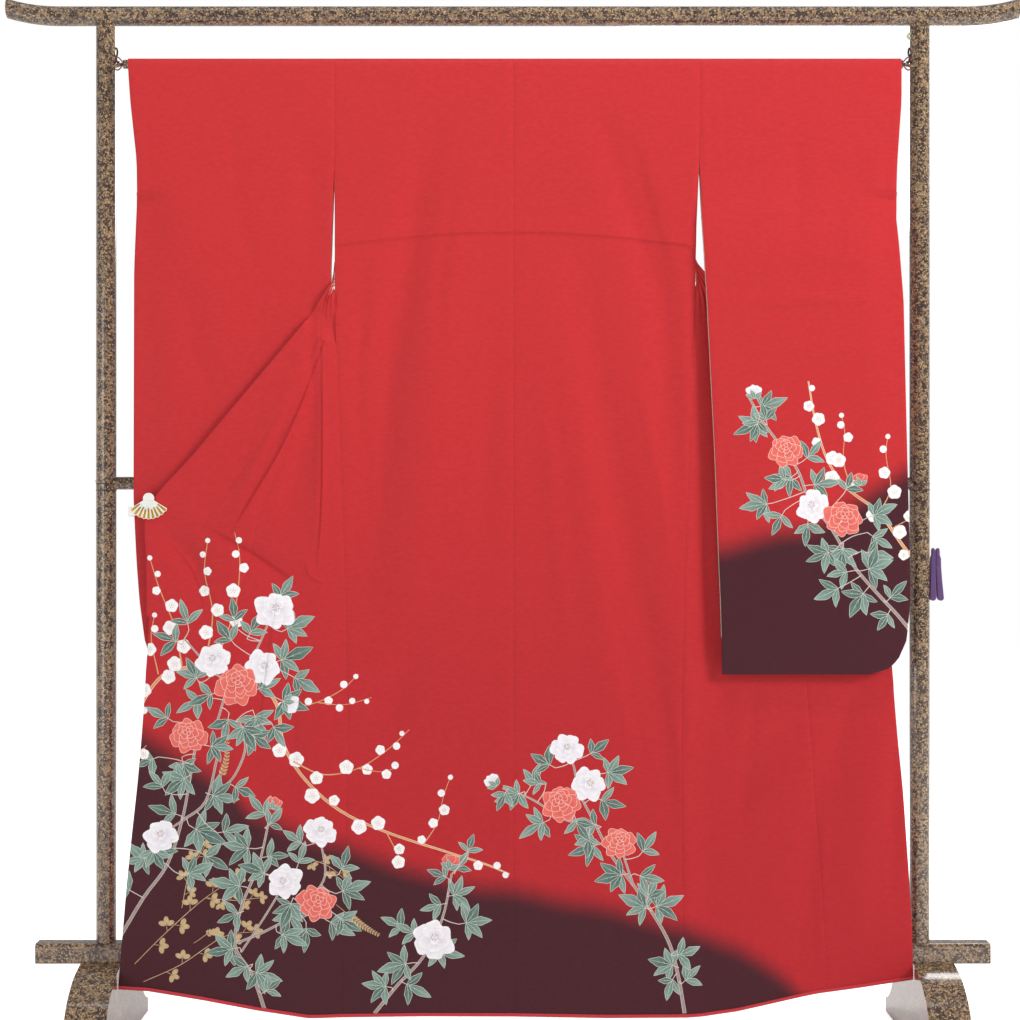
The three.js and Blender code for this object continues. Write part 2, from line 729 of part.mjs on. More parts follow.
// Depth of a sleeve's two layers at a point, as they hang clear of each other.
function sleeveDepths(sleeve, x, z) {
  const { bottom, rise, edgeDepth } = SLEEVE;
  const edge = read(sleeve.rows, 'z', z, 'outer');
  const fromEdge = Math.max(ease(0, rise, sleeve.side * (edge - x)), cuffOpen(z));
  const full = Math.min(fromEdge, ease(bottom, bottom + rise, z));
  const hang = ease(1500, sleeve.hangsFrom, z);
  const relief = foldRelief(sleeve.folds, x, z) * ease(1640, 1560, z);
  const near = mix(ROD.y - ROLL, sleeve.near, hang) + relief;
  const far = mix(ROD.y + ROLL, sleeve.far, hang);
  const middle = mix(ROD.y, (sleeve.near + sleeve.far) / 2, hang);
  return {
    near: mix(middle - edgeDepth / 2, near, full),
    far: mix(middle + edgeDepth / 2, far, full),
  };
}

const cuffOpen = (z) => ease(SLEEVE.cuffEnd - SLEEVE.cuffCorner, SLEEVE.cuffEnd, z);

// Points across a sleeve at a height. The hollow runs out past the open edges.
function sleeveColumns({ side, rows }, z, inset) {
  const columns = 10;
  const past = inset > 0 ? SLEEVE.beyond : 0;
  const outer = read(rows, 'z', z, 'outer') - side * mix(inset, -past, cuffOpen(z));
  const inner = read(rows, 'z', z, 'inner') + side * (SEAM / 2 - past);
  return Array.from({ length: columns }, (_, c) => mix(inner, outer, c / (columns - 1)));
}

// One bag, as a solid: inset 0 gives its outer face, inset WALL its hollow.
function sleeveBag(sleeve, inset) {
  const radius = ROLL - inset;
  const overRod = SLEEVE_ROLL.map((angle) => {
    const xs = sleeveColumns(sleeve, ROD.z + radius * Math.cos(angle), inset);
    return [-1, 1].map((face) => xs.map((x) => rolled(x, angle, face, radius)));
  });
  const levels = [SLEEVE.bottom + inset, ...SLEEVE_LEVELS, ...CUFF_LEVELS, ROD.z].reverse();
  const hanging = levels.map((z) => {
    const xs = sleeveColumns(sleeve, z, inset);
    const depths = xs.map((x) => sleeveDepths(sleeve, x, z));
    return [
      xs.map((x, c) => [x, depths[c].near + inset, z]),
      xs.map((x, c) => [x, depths[c].far - inset, z]),
    ];
  });
  const rows = [...overRod, ...hanging];
  if (sleeve.side < 0) {
    rows.flat().forEach((row) => row.reverse());
  }
  const faces = [0, 1].map((face) => rows.map((row) => row[face]));
  return toManifold(wallSolid(...faces));
}

function buildSleeve(name, sleeve) {
  const bag = sleeveBag(sleeve, 0).subtract(sleeveBag(sleeve, WALL));
  addPiece(name, fromManifold(bag), CREPE_RED);
}

// ---- padded hem roll ---------------------------------------------------------------

function hemRoll() {
  const points = [];
  for (const point of hemEdges.sort((a, b) => a[0] - b[0])) {
    const previous = points[points.length - 1];
    if (!previous || point[0] - previous[0] > 4 * SEAM) {
      points.push(point);
    }
  }
  const rings = points.map(([x, y, z]) => {
    const drop = SEAM + HEM_ROLL.height / 2;
    return ring(6, (sine, cosine) => [
      x,
      y + WALL / 2 - (HEM_ROLL.depth / 2) * cosine,
      z - drop + (HEM_ROLL.height / 2) * sine,
    ]);
  });
  return loftSolid(rings);
}

// ---- stand -------------------------------------------------------------------------

function topRail() {
  const { railHalf, tipLength, tipRise, railZ, railRadius } = STAND;
  const shares = [1, 0.8, 0.6, 0.4, 0.2, 0];
  const ends = shares.map((t) => ({ x: railHalf - (1 - t) * tipLength, lift: tipRise * t * t }));
  const stations = [...ends.map(({ x, lift }) => ({ x: -x, lift })), ...ends.reverse()];
  const rings = stations.map(({ x, lift }) => {
    return ring(20, (sine, cosine) => [x, -railRadius * cosine, railZ + lift + railRadius * sine]);
  });
  return loftSolid(rings);
}

// A post stands on the beam, and its head is coped to the rail.
function post(side) {
  const { postX, postRadius, beamTop, railZ, railRadius } = STAND;
  const shaft = cylinderAlong('z', postRadius, beamTop + SEAM, railZ);
  const cutter = cylinderAlong('x', railRadius + SEAM, -80, 80);
  cutter.translate(0, 0, railZ);
  const solid = toManifold(shaft).subtract(toManifold(cutter));
  const parts = solid.decompose().sort((a, b) => b.volume() - a.volume());
  const geometry = fromManifold(parts[0]);
  geometry.translate(side * postX, 0, 0);
  return geometry;
}

function middleRail() {
  const { postX, postRadius, middleZ, middleRadius } = STAND;
  const rail = cylinderAlong('x', middleRadius, -postX, postX, 20);
  rail.translate(0, 0, middleZ);
  let solid = toManifold(rail);
  for (const side of [-1, 1]) {
    const cutter = cylinderAlong('z', postRadius + SEAM, middleZ - 60, middleZ + 60);
    cutter.translate(side * postX, 0, 0);
    solid = solid.subtract(toManifold(cutter));
  }
  const parts = solid.decompose().sort((a, b) => b.volume() - a.volume());
  return fromManifold(parts[0]);
}

function baseBeam() {
  const { beamHalf, beamBottom, beamTop, beamDepth } = STAND;
  const corner = BEAM_CORNER;
  const half = beamDepth / 2;
  const height = beamTop - beamBottom;
  const outline = new THREE.Shape();
  outline.moveTo(-half + corner, 0);
  outline.lineTo(half - corner, 0);
  outline.absarc(half - corner, corner, corner, -Math.PI / 2, 0);
  outline.absarc(half - corner, height - corner, corner, 0, Math.PI / 2);
  outline.absarc(-half + corner, height - corner, corner, Math.PI / 2, Math.PI);
  outline.absarc(-half + corner, corner, corner, Math.PI, 1.5 * Math.PI);
  const beam = extrudeAlongX(outline, 2 * beamHalf, 4);
  beam.translate(-beamHalf, 0, beamBottom);
  return beam;
}

// Extrudes an outline drawn in depth and height, from x = 0 to a length.
function extrudeAlongX(outline, length, curveSegments) {
  const options = { depth: length, bevelEnabled: false, curveSegments };
  const geometry = new THREE.ExtrudeGeometry(outline, options);
  geometry.rotateX(Math.PI / 2);
  geometry.rotateZ(Math.PI / 2);
  return geometry;
}

// Extrudes an outline drawn in width and height, towards the far side from y = 0.
function extrudeAlongY(outline, depth) {
  const geometry = new THREE.ExtrudeGeometry(outline, { depth, bevelEnabled: false });
  geometry.rotateX(Math.PI / 2);
  geometry.translate(0, depth, 0);
  return geometry;
}

function polygon(points) {
  const outline = new THREE.Shape();
  outline.setFromPoints(points.map(([x, z]) => new THREE.Vector2(x, z)));
  return outline;
}

// A foot is a board on edge with a convex top, flat below, notched for the beam.
function foot(x) {
  const half = FOOT.length / 2;
  const notch = STAND.beamDepth / 2 + SEAM;
  const crown = { y: notch, z: FOOT.crown };
  const end = { y: half, z: FOOT.end };
  const place = ({ y, z }) => new THREE.Vector2(y, z);
  const mirrored = ({ y, z }) => new THREE.Vector2(-y, z);
  const outline = new THREE.Shape();
  outline.moveTo(half, 0);
  outline.lineTo(end.y, end.z);
  outline.splineThru([crown, ...FOOT_TOP].reverse().map(place));
  outline.lineTo(notch, STAND.beamBottom - SEAM);
  outline.lineTo(-notch, STAND.beamBottom - SEAM);
  outline.lineTo(-crown.y, crown.z);
  outline.splineThru([...FOOT_TOP, end].map(mirrored));
  outline.lineTo(-half, 0);
  outline.closePath();
  const board = extrudeAlongX(outline, FOOT.width, 12);
  board.translate(x - FOOT.width / 2, 0, 0);
  return board;
}

// A short pin carries the rod's end on the post.
function rodPin(side) {
  const start = new THREE.Vector2(ROD.half + PIN.start, ROD.y);
  const axis = new THREE.Vector2(STAND.postX, 0);
  const away = axis.clone().sub(start);
  const length = away.length() - STAND.postRadius - PIN.gap;
  const pin = cylinderAlong('x', PIN.radius, 0, length, 12);
  pin.rotateZ(away.angle());
  pin.translate(start.x, start.y, ROD.z);
  if (side < 0) {
    pin.rotateZ(Math.PI);
    pin.scale(1, -1, 1);
    const index = pin.index.array;
    for (let i = 0; i < index.length; i += 3) {
      [index[i], index[i + 1]] = [index[i + 1], index[i]];
    }
  }
  return pin;
}

// A fan-shaped clip holds the left front's free edge to the sleeve behind it: the fan in
// front, a bridge round the sleeve's edge and a jaw behind.
function fanClip() {
  const { x, z, radius, notched, ribs, spread, front, back, thick, jaw, edge, low, high } = CLIP;
  const rim = Array.from({ length: 2 * ribs + 1 }, (_, i) => {
    const angle = -Math.PI / 2 + spread * (i / ribs - 1);
    const reach = radius * (i % 2 ? 1 : notched);
    return [reach * Math.cos(angle), reach * Math.sin(angle)];
  });
  const plate = (points, depth, y) => {
    const geometry = extrudeAlongY(polygon(points), depth);
    geometry.translate(x, y, z);
    return toManifold(geometry);
  };
  const strip = (from, to) => [[from, low], [to, low], [to, high], [from, high]];
  const tongue = strip(edge - CLIP.lap, edge + CLIP.reach);
  const bridge = strip(edge - CLIP.lap, edge + CLIP.bridge);
  const solid = plate([[0, 0], ...rim], thick, front)
    .add(plate(tongue, thick, front))
    .add(plate(bridge, back + jaw - front, front))
    .add(plate(tongue, jaw, back));
  return fromManifold(solid);
}

// A plain peg on the outer side of the right post.
function peg() {
  const { x, z, height, leg, gap, depth, parted, headStart, headEnd, shoulder } = PEG;
  const width = 2 * leg + gap;
  const outline = polygon([
    [0, 0],
    [leg, 0],
    [(headStart + headEnd) / 2, parted],
    [leg + gap, 0],
    [width, 0],
    [headEnd, height - shoulder],
    [headEnd - shoulder, height],
    [headStart + shoulder, height],
    [headStart, height - shoulder],
  ]);
  const body = extrudeAlongY(outline, depth);
  body.translate(x, -depth / 2, z);
  return body;
}

// ---- assembly ----------------------------------------------------------------------

addPiece('back_left', backPanel(-1), CREPE_RED);
addPiece('back_right', backPanel(1), CREPE_RED);
const leftFront = buildFront('left', -1, LEFT_GATHER, LEFT_SPREAD);
const rightFront = buildFront('right', 1, RIGHT_GATHER, RIGHT_SPREAD);
buildCollar(leftFront, rightFront);
buildSleeve('sleeve_left', LEFT_SLEEVE);
buildSleeve('sleeve_right', RIGHT_SLEEVE);
addPiece('hem_roll', hemRoll(), LINING_RED);

const rod = cylinderAlong('x', ROD.radius, -ROD.half, ROD.half, 16);
rod.translate(0, ROD.y, ROD.z);
addPiece('hanging_rod', rod, LACQUER);
addPiece('rod_pin_left', rodPin(-1), LACQUER);
addPiece('rod_pin_right', rodPin(1), LACQUER);
addPiece('top_rail', topRail(), LACQUER);
addPiece('post_left', post(-1), LACQUER);
addPiece('post_right', post(1), LACQUER);
addPiece('middle_rail', middleRail(), LACQUER);
addPiece('base_beam', baseBeam(), LACQUER);
addPiece('foot_left', foot(FOOT.left), LACQUER);
addPiece('foot_right', foot(FOOT.right), LACQUER);
addPiece('fan_clip', fanClip(), WHITE_PLASTIC);
addPiece('peg', peg(), PURPLE_PLASTIC);

export default furisode;
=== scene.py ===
"""A silk furisode hung on a lacquered kimono stand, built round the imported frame."""

import math
import random

import bmesh
import bpy
import numpy as np
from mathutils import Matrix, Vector
from mathutils.geometry import delaunay_2d_cdt


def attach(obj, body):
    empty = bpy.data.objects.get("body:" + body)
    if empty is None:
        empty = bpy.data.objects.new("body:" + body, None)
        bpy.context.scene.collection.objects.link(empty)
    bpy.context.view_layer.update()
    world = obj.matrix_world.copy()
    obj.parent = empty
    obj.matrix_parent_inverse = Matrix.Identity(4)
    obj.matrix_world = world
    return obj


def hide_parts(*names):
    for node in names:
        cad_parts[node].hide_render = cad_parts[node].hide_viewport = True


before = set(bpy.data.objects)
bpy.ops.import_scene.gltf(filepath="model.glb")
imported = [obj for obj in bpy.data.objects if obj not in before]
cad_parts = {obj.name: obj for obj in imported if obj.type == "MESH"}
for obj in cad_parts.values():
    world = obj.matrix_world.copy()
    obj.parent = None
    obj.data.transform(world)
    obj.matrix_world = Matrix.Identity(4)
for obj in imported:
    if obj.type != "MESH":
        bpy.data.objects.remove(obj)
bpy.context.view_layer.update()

bl_info = {
    "name": "Furisode on a kimono stand",
    "version": (1, 0, 0),
    "blender": (4, 5, 0),
    "location": "View3D > Sidebar > Furisode",
    "description": "Builds the cloth, the stand and the studio of a hung furisode",
    "category": "Object",
}

# ---- sizes and tables, in millimetres ------------------------------------------------

MM = 0.001
WALL = 1.6
SEAM = -0.4  # the cloth laps at its seams, where the solids keep 0.3 mm
ROD = {"y": -30.0, "z": 1678.0, "radius": 7.5, "slack": 0.8, "half": 664.0}
ROLL = ROD["radius"] + ROD["slack"] + WALL
APEX = ROD["z"] + ROLL * math.pi / 2  # unrolled height of the top of the rod
HANG = ROD["y"] - ROLL
FAR = ROD["y"] + ROLL
NECK_HALF = 88.0
COLLAR_WIDTH = 55.0
NECK_TILT = 0.58
EDGE_TURN = {"depth": 0.9, "width": 2.4}
HALF_BACK = 300.0
TUCK = {"z": 1391.0, "sag": 23.0, "lip": 2.1, "height": 34.0, "edge": 2.6}
SKIRT = {"z": 1292.0, "sag": 6.0, "rows": 13}
SLEEVE = {
    "bottom": 641.0, "cuff_end": 1458.0, "corner": 6.0, "edge": 4.0, "rise": 70.0, "wall": 1.2,
}
HEM_ROLL = {"height": 6.0, "depth": 5.0}


def number(text):
    return float(text) if "." in text else int(text)


def rows_of(text):
    """Rows of numbers from text in which a comma ends a row."""
    return [tuple(number(n) for n in row.split()) for row in text.split(",")]


def table(columns, text):
    """Columns of numbers by name, from text with a row up to each comma."""
    return dict(zip(columns.split(), np.array(rows_of(text), float).T))


SPREAD_DEPTH = table("x y", """
    -680 -55, -500 -57, -330 -54, -290 -50, -150 -46, 0 -44, 150 -43, 296 -40, 330 -31, 500 -29,
    690 -29
""")
SIDE_EDGE = table("z left right", """
    60 -290 290, 544 -280 286, 833 -286 292, 1100 -296 303, 1292 -302 310, 1400 -302.6 312,
    1513 -304 317, 1690 -304 318
""")
HEM = table("x z", """
    -690 114, -668 112, -617 109, -518 93, -430 76, -347 63, -150 64, 0 63, 160 60, 326 60, 382 68,
    464 86, 520 98, 597 109, 690 123
""")
FOLD_COLUMNS = "x0 z0 x1 z1 x2 z2 width depth"
FOLDS = table(FOLD_COLUMNS, """
    -138 1570 -206 1190 -253 762 28 9, 150 1590 250 1290 283 867 26 8,
    112 1345 208 762 300 357 34 8, -84 1480 -140 1080 -186 640 42 -6,
    70 1300 130 950 176 560 40 -5, -158 740 -211 549 -275 500 32 6, 490 575 394 442 320 367 34 7,
    585 620 522 389 490 110 30 7, 630 560 596 330 584 120 26 -4, -350 1170 -436 975 -478 850 22 -7,
    -322 1180 -350 1010 -380 880 20 6, -464 867 -362 765 -286 833 26 5,
    -600 905 -545 833 -520 740 24 6
""")
# Creases too small for the solid, placed one by one.
CREASES = table(FOLD_COLUMNS, """
    -318 1215 -380 1050 -452 905 7 -4.5, -322 1198 -394 1036 -470 884 9 4.2,
    -341 1290 -342 1180 -340 1060 8 3.6, -326 1180 -326 980 -334 850 7 -3.4,
    -330 1150 -368 990 -392 900 8 3.1, -586 872 -540 832 -520 760 9 3.4,
    -520 884 -430 838 -376 792 8 3.1, -356 824 -362 790 -368 770 6 2.2,
    -344 812 -330 809 -306 808 5 1.8, -362 700 -372 560 -380 420 14 3.4,
    -455 640 -462 500 -470 380 16 -2.8, -585 700 -590 520 -600 330 18 3.1,
    -530 330 -536 220 -545 120 14 2.5, -96 1500 -120 1330 -128 1180 10 2.2,
    -250 1330 -262 1150 -262 980 12 3.4, -224 1180 -236 960 -248 800 9 -2.2,
    -30 1240 -46 1000 -52 800 22 2.8, 40 1200 72 900 96 640 16 -2.5,
    196 1560 232 1430 262 1330 10 3.1, 214 1130 252 960 268 820 10 -2.8,
    150 860 196 640 226 470 12 2.8, 264 640 290 430 300 290 12 -3.1,
    330 900 346 700 366 520 14 3.6, 420 640 398 480 392 330 12 2.8,
    540 470 528 300 524 160 10 -2.2, 656 560 650 400 648 240 12 2.8, -20 520 4 330 0 150 20 -2.5,
    -130 420 -120 260 -126 120 16 2.5, 180 330 170 220 176 110 14 2.2
""")
# Folds with one sharp side, which is on the left going along the line when step is positive.
PLEATS = table("x0 z0 x1 z1 x2 z2 width step", """
    -318 1206 -386 1034 -478 878 34 4.4, -324 1228 -323 960 -332 822 13 3.4,
    -520 892 -440 846 -372 800 16 2.1, -352 830 -345 806 -318 790 9 1.7,
    -587 870 -541 812 -521 742 15 2.1, -398 780 -418 640 -432 520 22 1.8
""")
GATHER_COLUMNS = "x0 z0 x3 z3 front okumi y lay"
LEFT_GATHER = table(GATHER_COLUMNS, """
    -304 1500 -193 1500 1 1 -20.1 0, -304 1400 -250 1400 0.93 1 -20.1 0,
    -305 1322 -298 1338 0.72 1 -22 0, -305.6 1297 -305 1320 0.5 0.6 -29 0,
    -305.6 1291 -305.8 1312 0.5 0.6 -38 0, -305 1287 -308 1304 0.48 0.6 -47 0,
    -303 1262 -330 1268 0.42 0.56 -53 0.6
""")
RIGHT_GATHER = table(GATHER_COLUMNS, """
    317 1500 214 1500 1 1 -20.1 0, 313 1420 268 1420 0.93 1 -20.1 0,
    311.5 1338 303 1372 0.72 1 -20.6 0, 313 1306 310.5 1350 0.5 0.6 -23 0,
    313.5 1296 315 1340 0.5 0.6 -27 0, 312.5 1290 325 1327 0.48 0.6 -30 0.2,
    310 1262 348 1300 0.42 0.56 -31 0.8
""")
LEFT_SPREAD = table("x3 z3 front okumi", """
    -358 1230 0.38 0.53, -442 1130 0.36 0.55, -540 1013 0.38 0.6, -617 921 0.42 0.66,
    -620 826 0.49 0.84, -620 738 0.57 0.985, -621 645 0.59 1, -627 550 0.6 1, -635 458 0.6 1,
    -645 366 0.61 1, -654 276 0.615 1, -661 194 0.62 1, -668 112 0.62 1
""")
RIGHT_SPREAD = table("x3 z3 front okumi", """
    382 1250 0.38 0.53, 459 1140 0.36 0.55, 550 1010 0.38 0.6, 649 868 0.42 0.66,
    650 790 0.49 0.84, 649 710 0.57 0.985, 649 625 0.59 1, 656 535 0.6 1, 665 445 0.6 1,
    671 360 0.61 1, 677 275 0.615 1, 681 198 0.62 1, 683 121.5 0.62 1
""")
OKUMI_TOP = 2.0  # row where the okumi starts, counting the row below the rod as 0
TURN = 4.0  # from this row on the collar follows the rows of the front
SPREAD_START = 8.0  # first row that lies flat
COLLAR_END = 13.0
FAR_COLLAR = table("z across down squeezed width", """
    1350 0.88 0.48 1 0.3, 1400 0.88 0.48 1 0.53, 1440 0.88 0.48 0.65 0.84, 1480 0.88 0.48 0.1 1,
    1500 0.88 0.48 0 1, 1560 0.88 0.48 0 1, 1678 0.58 1 0 1
""")
SLEEVES = {
    "left": {
        "side": -1, "near": -44.0, "far": -27.0, "hangs_from": 1300.0,
        "rows": table("z inner outer", """
            641 -309 -572, 648 -309 -597, 665 -309 -614, 697 -309 -625, 765 -309 -634,
            833 -309 -639, 935 -309 -644, 1326 -309.4 -643, 1445 -306 -639, 1513 -304 -640,
            1615 -304 -651, 1690 -304 -656
        """),
        "folds": table(FOLD_COLUMNS, """
            -350 1560 -344 1420 -338 1300 26 3, -600 1560 -520 1330 -470 1120 40 -2.5,
            -480 1600 -470 1450 -440 1320 16 1.6, -630 1300 -618 1130 -612 980 14 1.8,
            -560 1300 -540 1180 -500 1090 18 1.8
        """),
    },
    "right": {
        "side": 1, "near": -54.0, "far": -38.0, "hangs_from": 1350.0,
        "rows": table("z inner outer", """
            641 355 604, 648 355 634, 665 354.5 652, 697 354 666, 765 352 673, 833 349 672,
            1020 342 667, 1275 329 661, 1411 321 650, 1513 317.6 654, 1615 318 661, 1690 318 661
        """),
        "folds": table(FOLD_COLUMNS, """
            390 1268 520 1272 652 1270 14 -3.5, 400 1100 430 950 440 800 46 -3,
            600 1180 560 1000 575 820 40 3, 392 1258 520 1262 650 1261 5 1.8,
            420 1342 520 1346 640 1340 12 -1.6, 430 1190 530 1194 640 1186 12 -1.4,
            480 1580 486 1460 470 1330 18 1.8, 610 1560 616 1440 606 1330 14 -1.6,
            500 900 510 800 505 700 20 1.6
        """),
    },
}
# Edge of the dark dye across each piece, and how softly it fades.
BODY_DARK = table("x z", """
    -690 560, -624 537, -571 501, -484 462, -447 410, -320 354, -153 303, -5 274, 105 248, 216 230,
    299 208, 382 174, 471 108, 560 20, 700 -90
""")
RIGHT_DARK = table("x z", """
    330 852, 415 868, 493 882, 590 936, 631 968, 680 1002
""")
LEFT_DARK = table("x z", """
    -680 630, -600 680, -500 770, -430 800, -300 830
""")

SLEEVE_DARK = {"left": LEFT_DARK, "right": RIGHT_DARK}

# ---- small helpers --------------------------------------------------------------------


def mix(a, b, t):
    return a + (b - a) * t


def ease(start, end, value):
    t = np.clip((value - start) / (end - start), 0, 1)
    return t * t * (3 - 2 * t)


def read(rows, key, value, column):
    keys, values = rows[key], rows[column]
    if keys[0] > keys[-1]:
        keys, values = keys[::-1], values[::-1]
    return np.interp(value, keys, values)


def linear(hex_colour):
    """Scene-linear values of a colour written as six hex digits."""
    parts = [int(hex_colour[i : i + 2], 16) / 255 for i in (0, 2, 4)]
    return tuple(c / 12.92 if c <= 0.04045 else ((c + 0.055) / 1.055) ** 2.4 for c in parts)


def toward(angle):
    """The unit vector at an angle."""
    return np.array((math.cos(angle), math.sin(angle)))


def unit(rows):
    return rows / np.maximum(np.linalg.norm(rows, axis=1, keepdims=True), 1e-9)


def leftward(rows):
    """The vectors turned a quarter to the left."""
    return np.stack([-rows[:, 1], rows[:, 0]], -1)


def columns_of(*columns):
    return np.stack(columns, -1)


def clockwise(points):
    ends = np.roll(points, -1, axis=0)
    return np.sum(points[:, 0] * ends[:, 1] - ends[:, 0] * points[:, 1]) < 0


def smooth_line(points, steps=5):
    """A Catmull-Rom curve through the points."""
    p = np.asarray(points, float)
    p = np.concatenate([[2 * p[0] - p[1]], p, [2 * p[-1] - p[-2]]])
    out = []
    for a, b, c, d in zip(p[:-3], p[1:-2], p[2:-1], p[3:]):
        for t in np.arange(steps) / steps:
            out.append(
                0.5 * (2 * b + (c - a) * t + (2 * a - 5 * b + 4 * c - d) * t**2
                       + (3 * b - a - 3 * c + d) * t**3)
            )
    return np.array([*out, p[-2]])


def polyline_distance(points, line, x, z):
    """Distance to a line through points, and the share along it, 0 to 1."""
    best = np.full(np.shape(x), np.inf)
    share = np.zeros(np.shape(x))
    for i in range(len(points) - 1):
        (ax, az), (bx, bz) = points[i], points[i + 1]
        length2 = (bx - ax) ** 2 + (bz - az) ** 2
        t = np.clip(((x - ax) * (bx - ax) + (z - az) * (bz - az)) / length2, 0, 1)
        distance = np.hypot(x - mix(ax, bx, t), z - mix(az, bz, t))
        closer = distance < best
        best = np.where(closer, distance, best)
        share = np.where(closer, (i + t) / line, share)
    return best, share


def fold_relief(folds, x, z):
    total = np.zeros(np.shape(x))
    for x0, z0, x1, z1, x2, z2, width, depth in zip(*folds.values()):
        distance, share = polyline_distance([(x0, z0), (x1, z1), (x2, z2)], 2, x, z)
        taper = np.sin(np.pi * np.clip(0.08 + 0.84 * share, 0, 1))
        total = total + depth * taper * np.exp(-((distance / width) ** 2))
    return total


def tuck_z(x):
    return TUCK["z"] - TUCK["sag"] * (x / HALF_BACK) ** 2


def tuck_relief(x, z):
    """The tuck's lip, which stands proud along its lower edge."""
    above = z - tuck_z(x)
    share = np.where(above < 0, 1 + above / TUCK["edge"], 1 - above / TUCK["height"])
    return -TUCK["lip"] * np.clip(share, 0, 1) * (np.abs(x) < 1.1 * HALF_BACK)


def spread_y(x, z):
    """Depth of the outer face of the spread cloth."""
    base = mix(HANG, read(SPREAD_DEPTH, "x", x, "y"), ease(1500, 1200, z))
    free = ease(1660, 1560, z)
    return base + free * (fold_relief(FOLDS, x, z) + tuck_relief(x, z))


def pleat_lines():
    for x0, z0, x1, z1, x2, z2, width, step in zip(*PLEATS.values()):
        yield smooth_line([(x0, z0), (x1, z1), (x2, z2)], 8), width, step


def pleat_relief(x, z):
    """Cloth that steps forward at a line and falls back slowly on its other side."""
    total = np.zeros(np.shape(x))
    for line, width, step in pleat_lines():
        distance, share = polyline_distance(line, len(line) - 1, x, z)
        low, high = line.min(0) - 4 * width, line.max(0) + 4 * width
        near = (x > low[0]) & (x < high[0]) & (z > low[1]) & (z < high[1])
        along = np.clip((share * (len(line) - 1)).astype(int), 0, len(line) - 2)
        ahead = line[along + 1] - line[along]
        start = line[along]
        aside = ahead[..., 0] * (z - start[..., 1]) - ahead[..., 1] * (x - start[..., 0])
        signed = distance * np.sign(aside)
        rise = ease(-1.2, 1.2, signed)
        taper = np.sin(np.pi * np.clip(0.04 + 0.92 * share, 0, 1)) ** 0.7
        ends = (share > 0.001) & (share < 0.999)
        fall = np.exp(-np.abs(signed) / width) * rise - 0.35 * (1 - rise) * np.exp(-distance / 6)
        total = total - np.where(near & ends, step * taper * fall, 0)
    return total


def fine_spread_y(x, z):
    x, z = np.asarray(x, float), np.asarray(z, float)
    return spread_y(x, z) + ease(1660, 1560, z) * (
        fold_relief(CREASES, x, z) + pleat_relief(x, z)
    )


def over_rod(x, height, side):
    """A point of cloth rolled over the rod; height goes on upwards as if unrolled."""
    angle = np.pi / 2 - (height - ROD["z"]) / ROLL
    y = ROD["y"] + side * ROLL * np.sin(angle)
    return columns_of(x, y, ROD["z"] + ROLL * np.cos(angle))


def hung(x, height, side, depth):
    """Cloth that hangs at a depth below the rod and is rolled over it above."""
    flat = columns_of(x, depth, height)
    return np.where((height > ROD["z"])[..., None], over_rod(x, height, side), flat)


# ---- triangulated cloth -----------------------------------------------------------------


class Surface:
    """An open triangulated surface: points in millimetres and a colour for each corner."""

    def __init__(self, points, faces, tones):
        self.points = np.asarray(points, float)
        self.faces = np.asarray(faces, int)
        self.tones = np.asarray(tones, float)


def inside_outline(outline, points):
    """Which points an outline holds, counted edge by edge over the points level with it."""
    ends = np.roll(outline, -1, axis=0)
    order = np.argsort(points[:, 1])
    zs = points[order, 1]
    inside = np.zeros(len(points), bool)
    low, high = np.minimum(outline[:, 1], ends[:, 1]), np.maximum(outline[:, 1], ends[:, 1])
    firsts, lasts = np.searchsorted(zs, low, "left"), np.searchsorted(zs, high, "left")
    for a, b, first, last in zip(outline, ends, firsts, lasts):
        if last > first:
            level = order[first:last]
            at = a[0] + (b[0] - a[0]) * (points[level, 1] - a[1]) / (b[1] - a[1])
            inside[level] ^= points[level, 0] < at
    return inside


def edge_distance(starts, ends, points, reach=14.0):
    """Distance from points to the nearest of some short edges, up to a reach."""
    order = np.argsort(points[:, 1])
    zs = points[order, 1]
    best = np.full(len(points), reach)
    low = np.minimum(starts[:, 1], ends[:, 1]) - reach
    high = np.maximum(starts[:, 1], ends[:, 1]) + reach
    firsts, lasts = np.searchsorted(zs, low), np.searchsorted(zs, high)
    for a, b, first, last in zip(starts, ends, firsts, lasts):
        near = order[first:last]
        x = points[near, 0]
        near = near[(x > min(a[0], b[0]) - reach) & (x < max(a[0], b[0]) + reach)]
        if len(near):
            along = b - a
            offset = points[near] - a
            t = np.clip(offset @ along / max(along @ along, 1e-9), 0, 1)
            gap = offset - t[:, None] * along
            best[near] = np.minimum(best[near], np.hypot(gap[:, 0], gap[:, 1]))
    return best


def resample(points, spacing):
    """The same open line with no step longer than the spacing."""
    points = np.asarray(points, float)
    out = []
    for a, b in zip(points[:-1], points[1:]):
        steps = max(1, int(math.ceil(np.linalg.norm(b - a) / spacing)))
        out += [mix(a, b, i / steps) for i in range(steps)]
    return out + [points[-1]]


def topmost_shapes(middles, shapes, wanted):
    """For each triangle's middle, the last of the wanted shapes that holds it, or -1."""
    tops = np.full(len(middles), -1)
    order = np.argsort(middles[:, 0])
    xs = middles[order, 0]
    for index in wanted:
        points = shapes[index]["points"]
        first, last = np.searchsorted(xs, (points[:, 0].min(), points[:, 0].max()))
        near = order[first:last]
        z = middles[near, 1]
        near = near[(z > points[:, 1].min()) & (z < points[:, 1].max())]
        if len(near):
            tops[near[inside_outline(points, middles[near])]] = index
    return tops


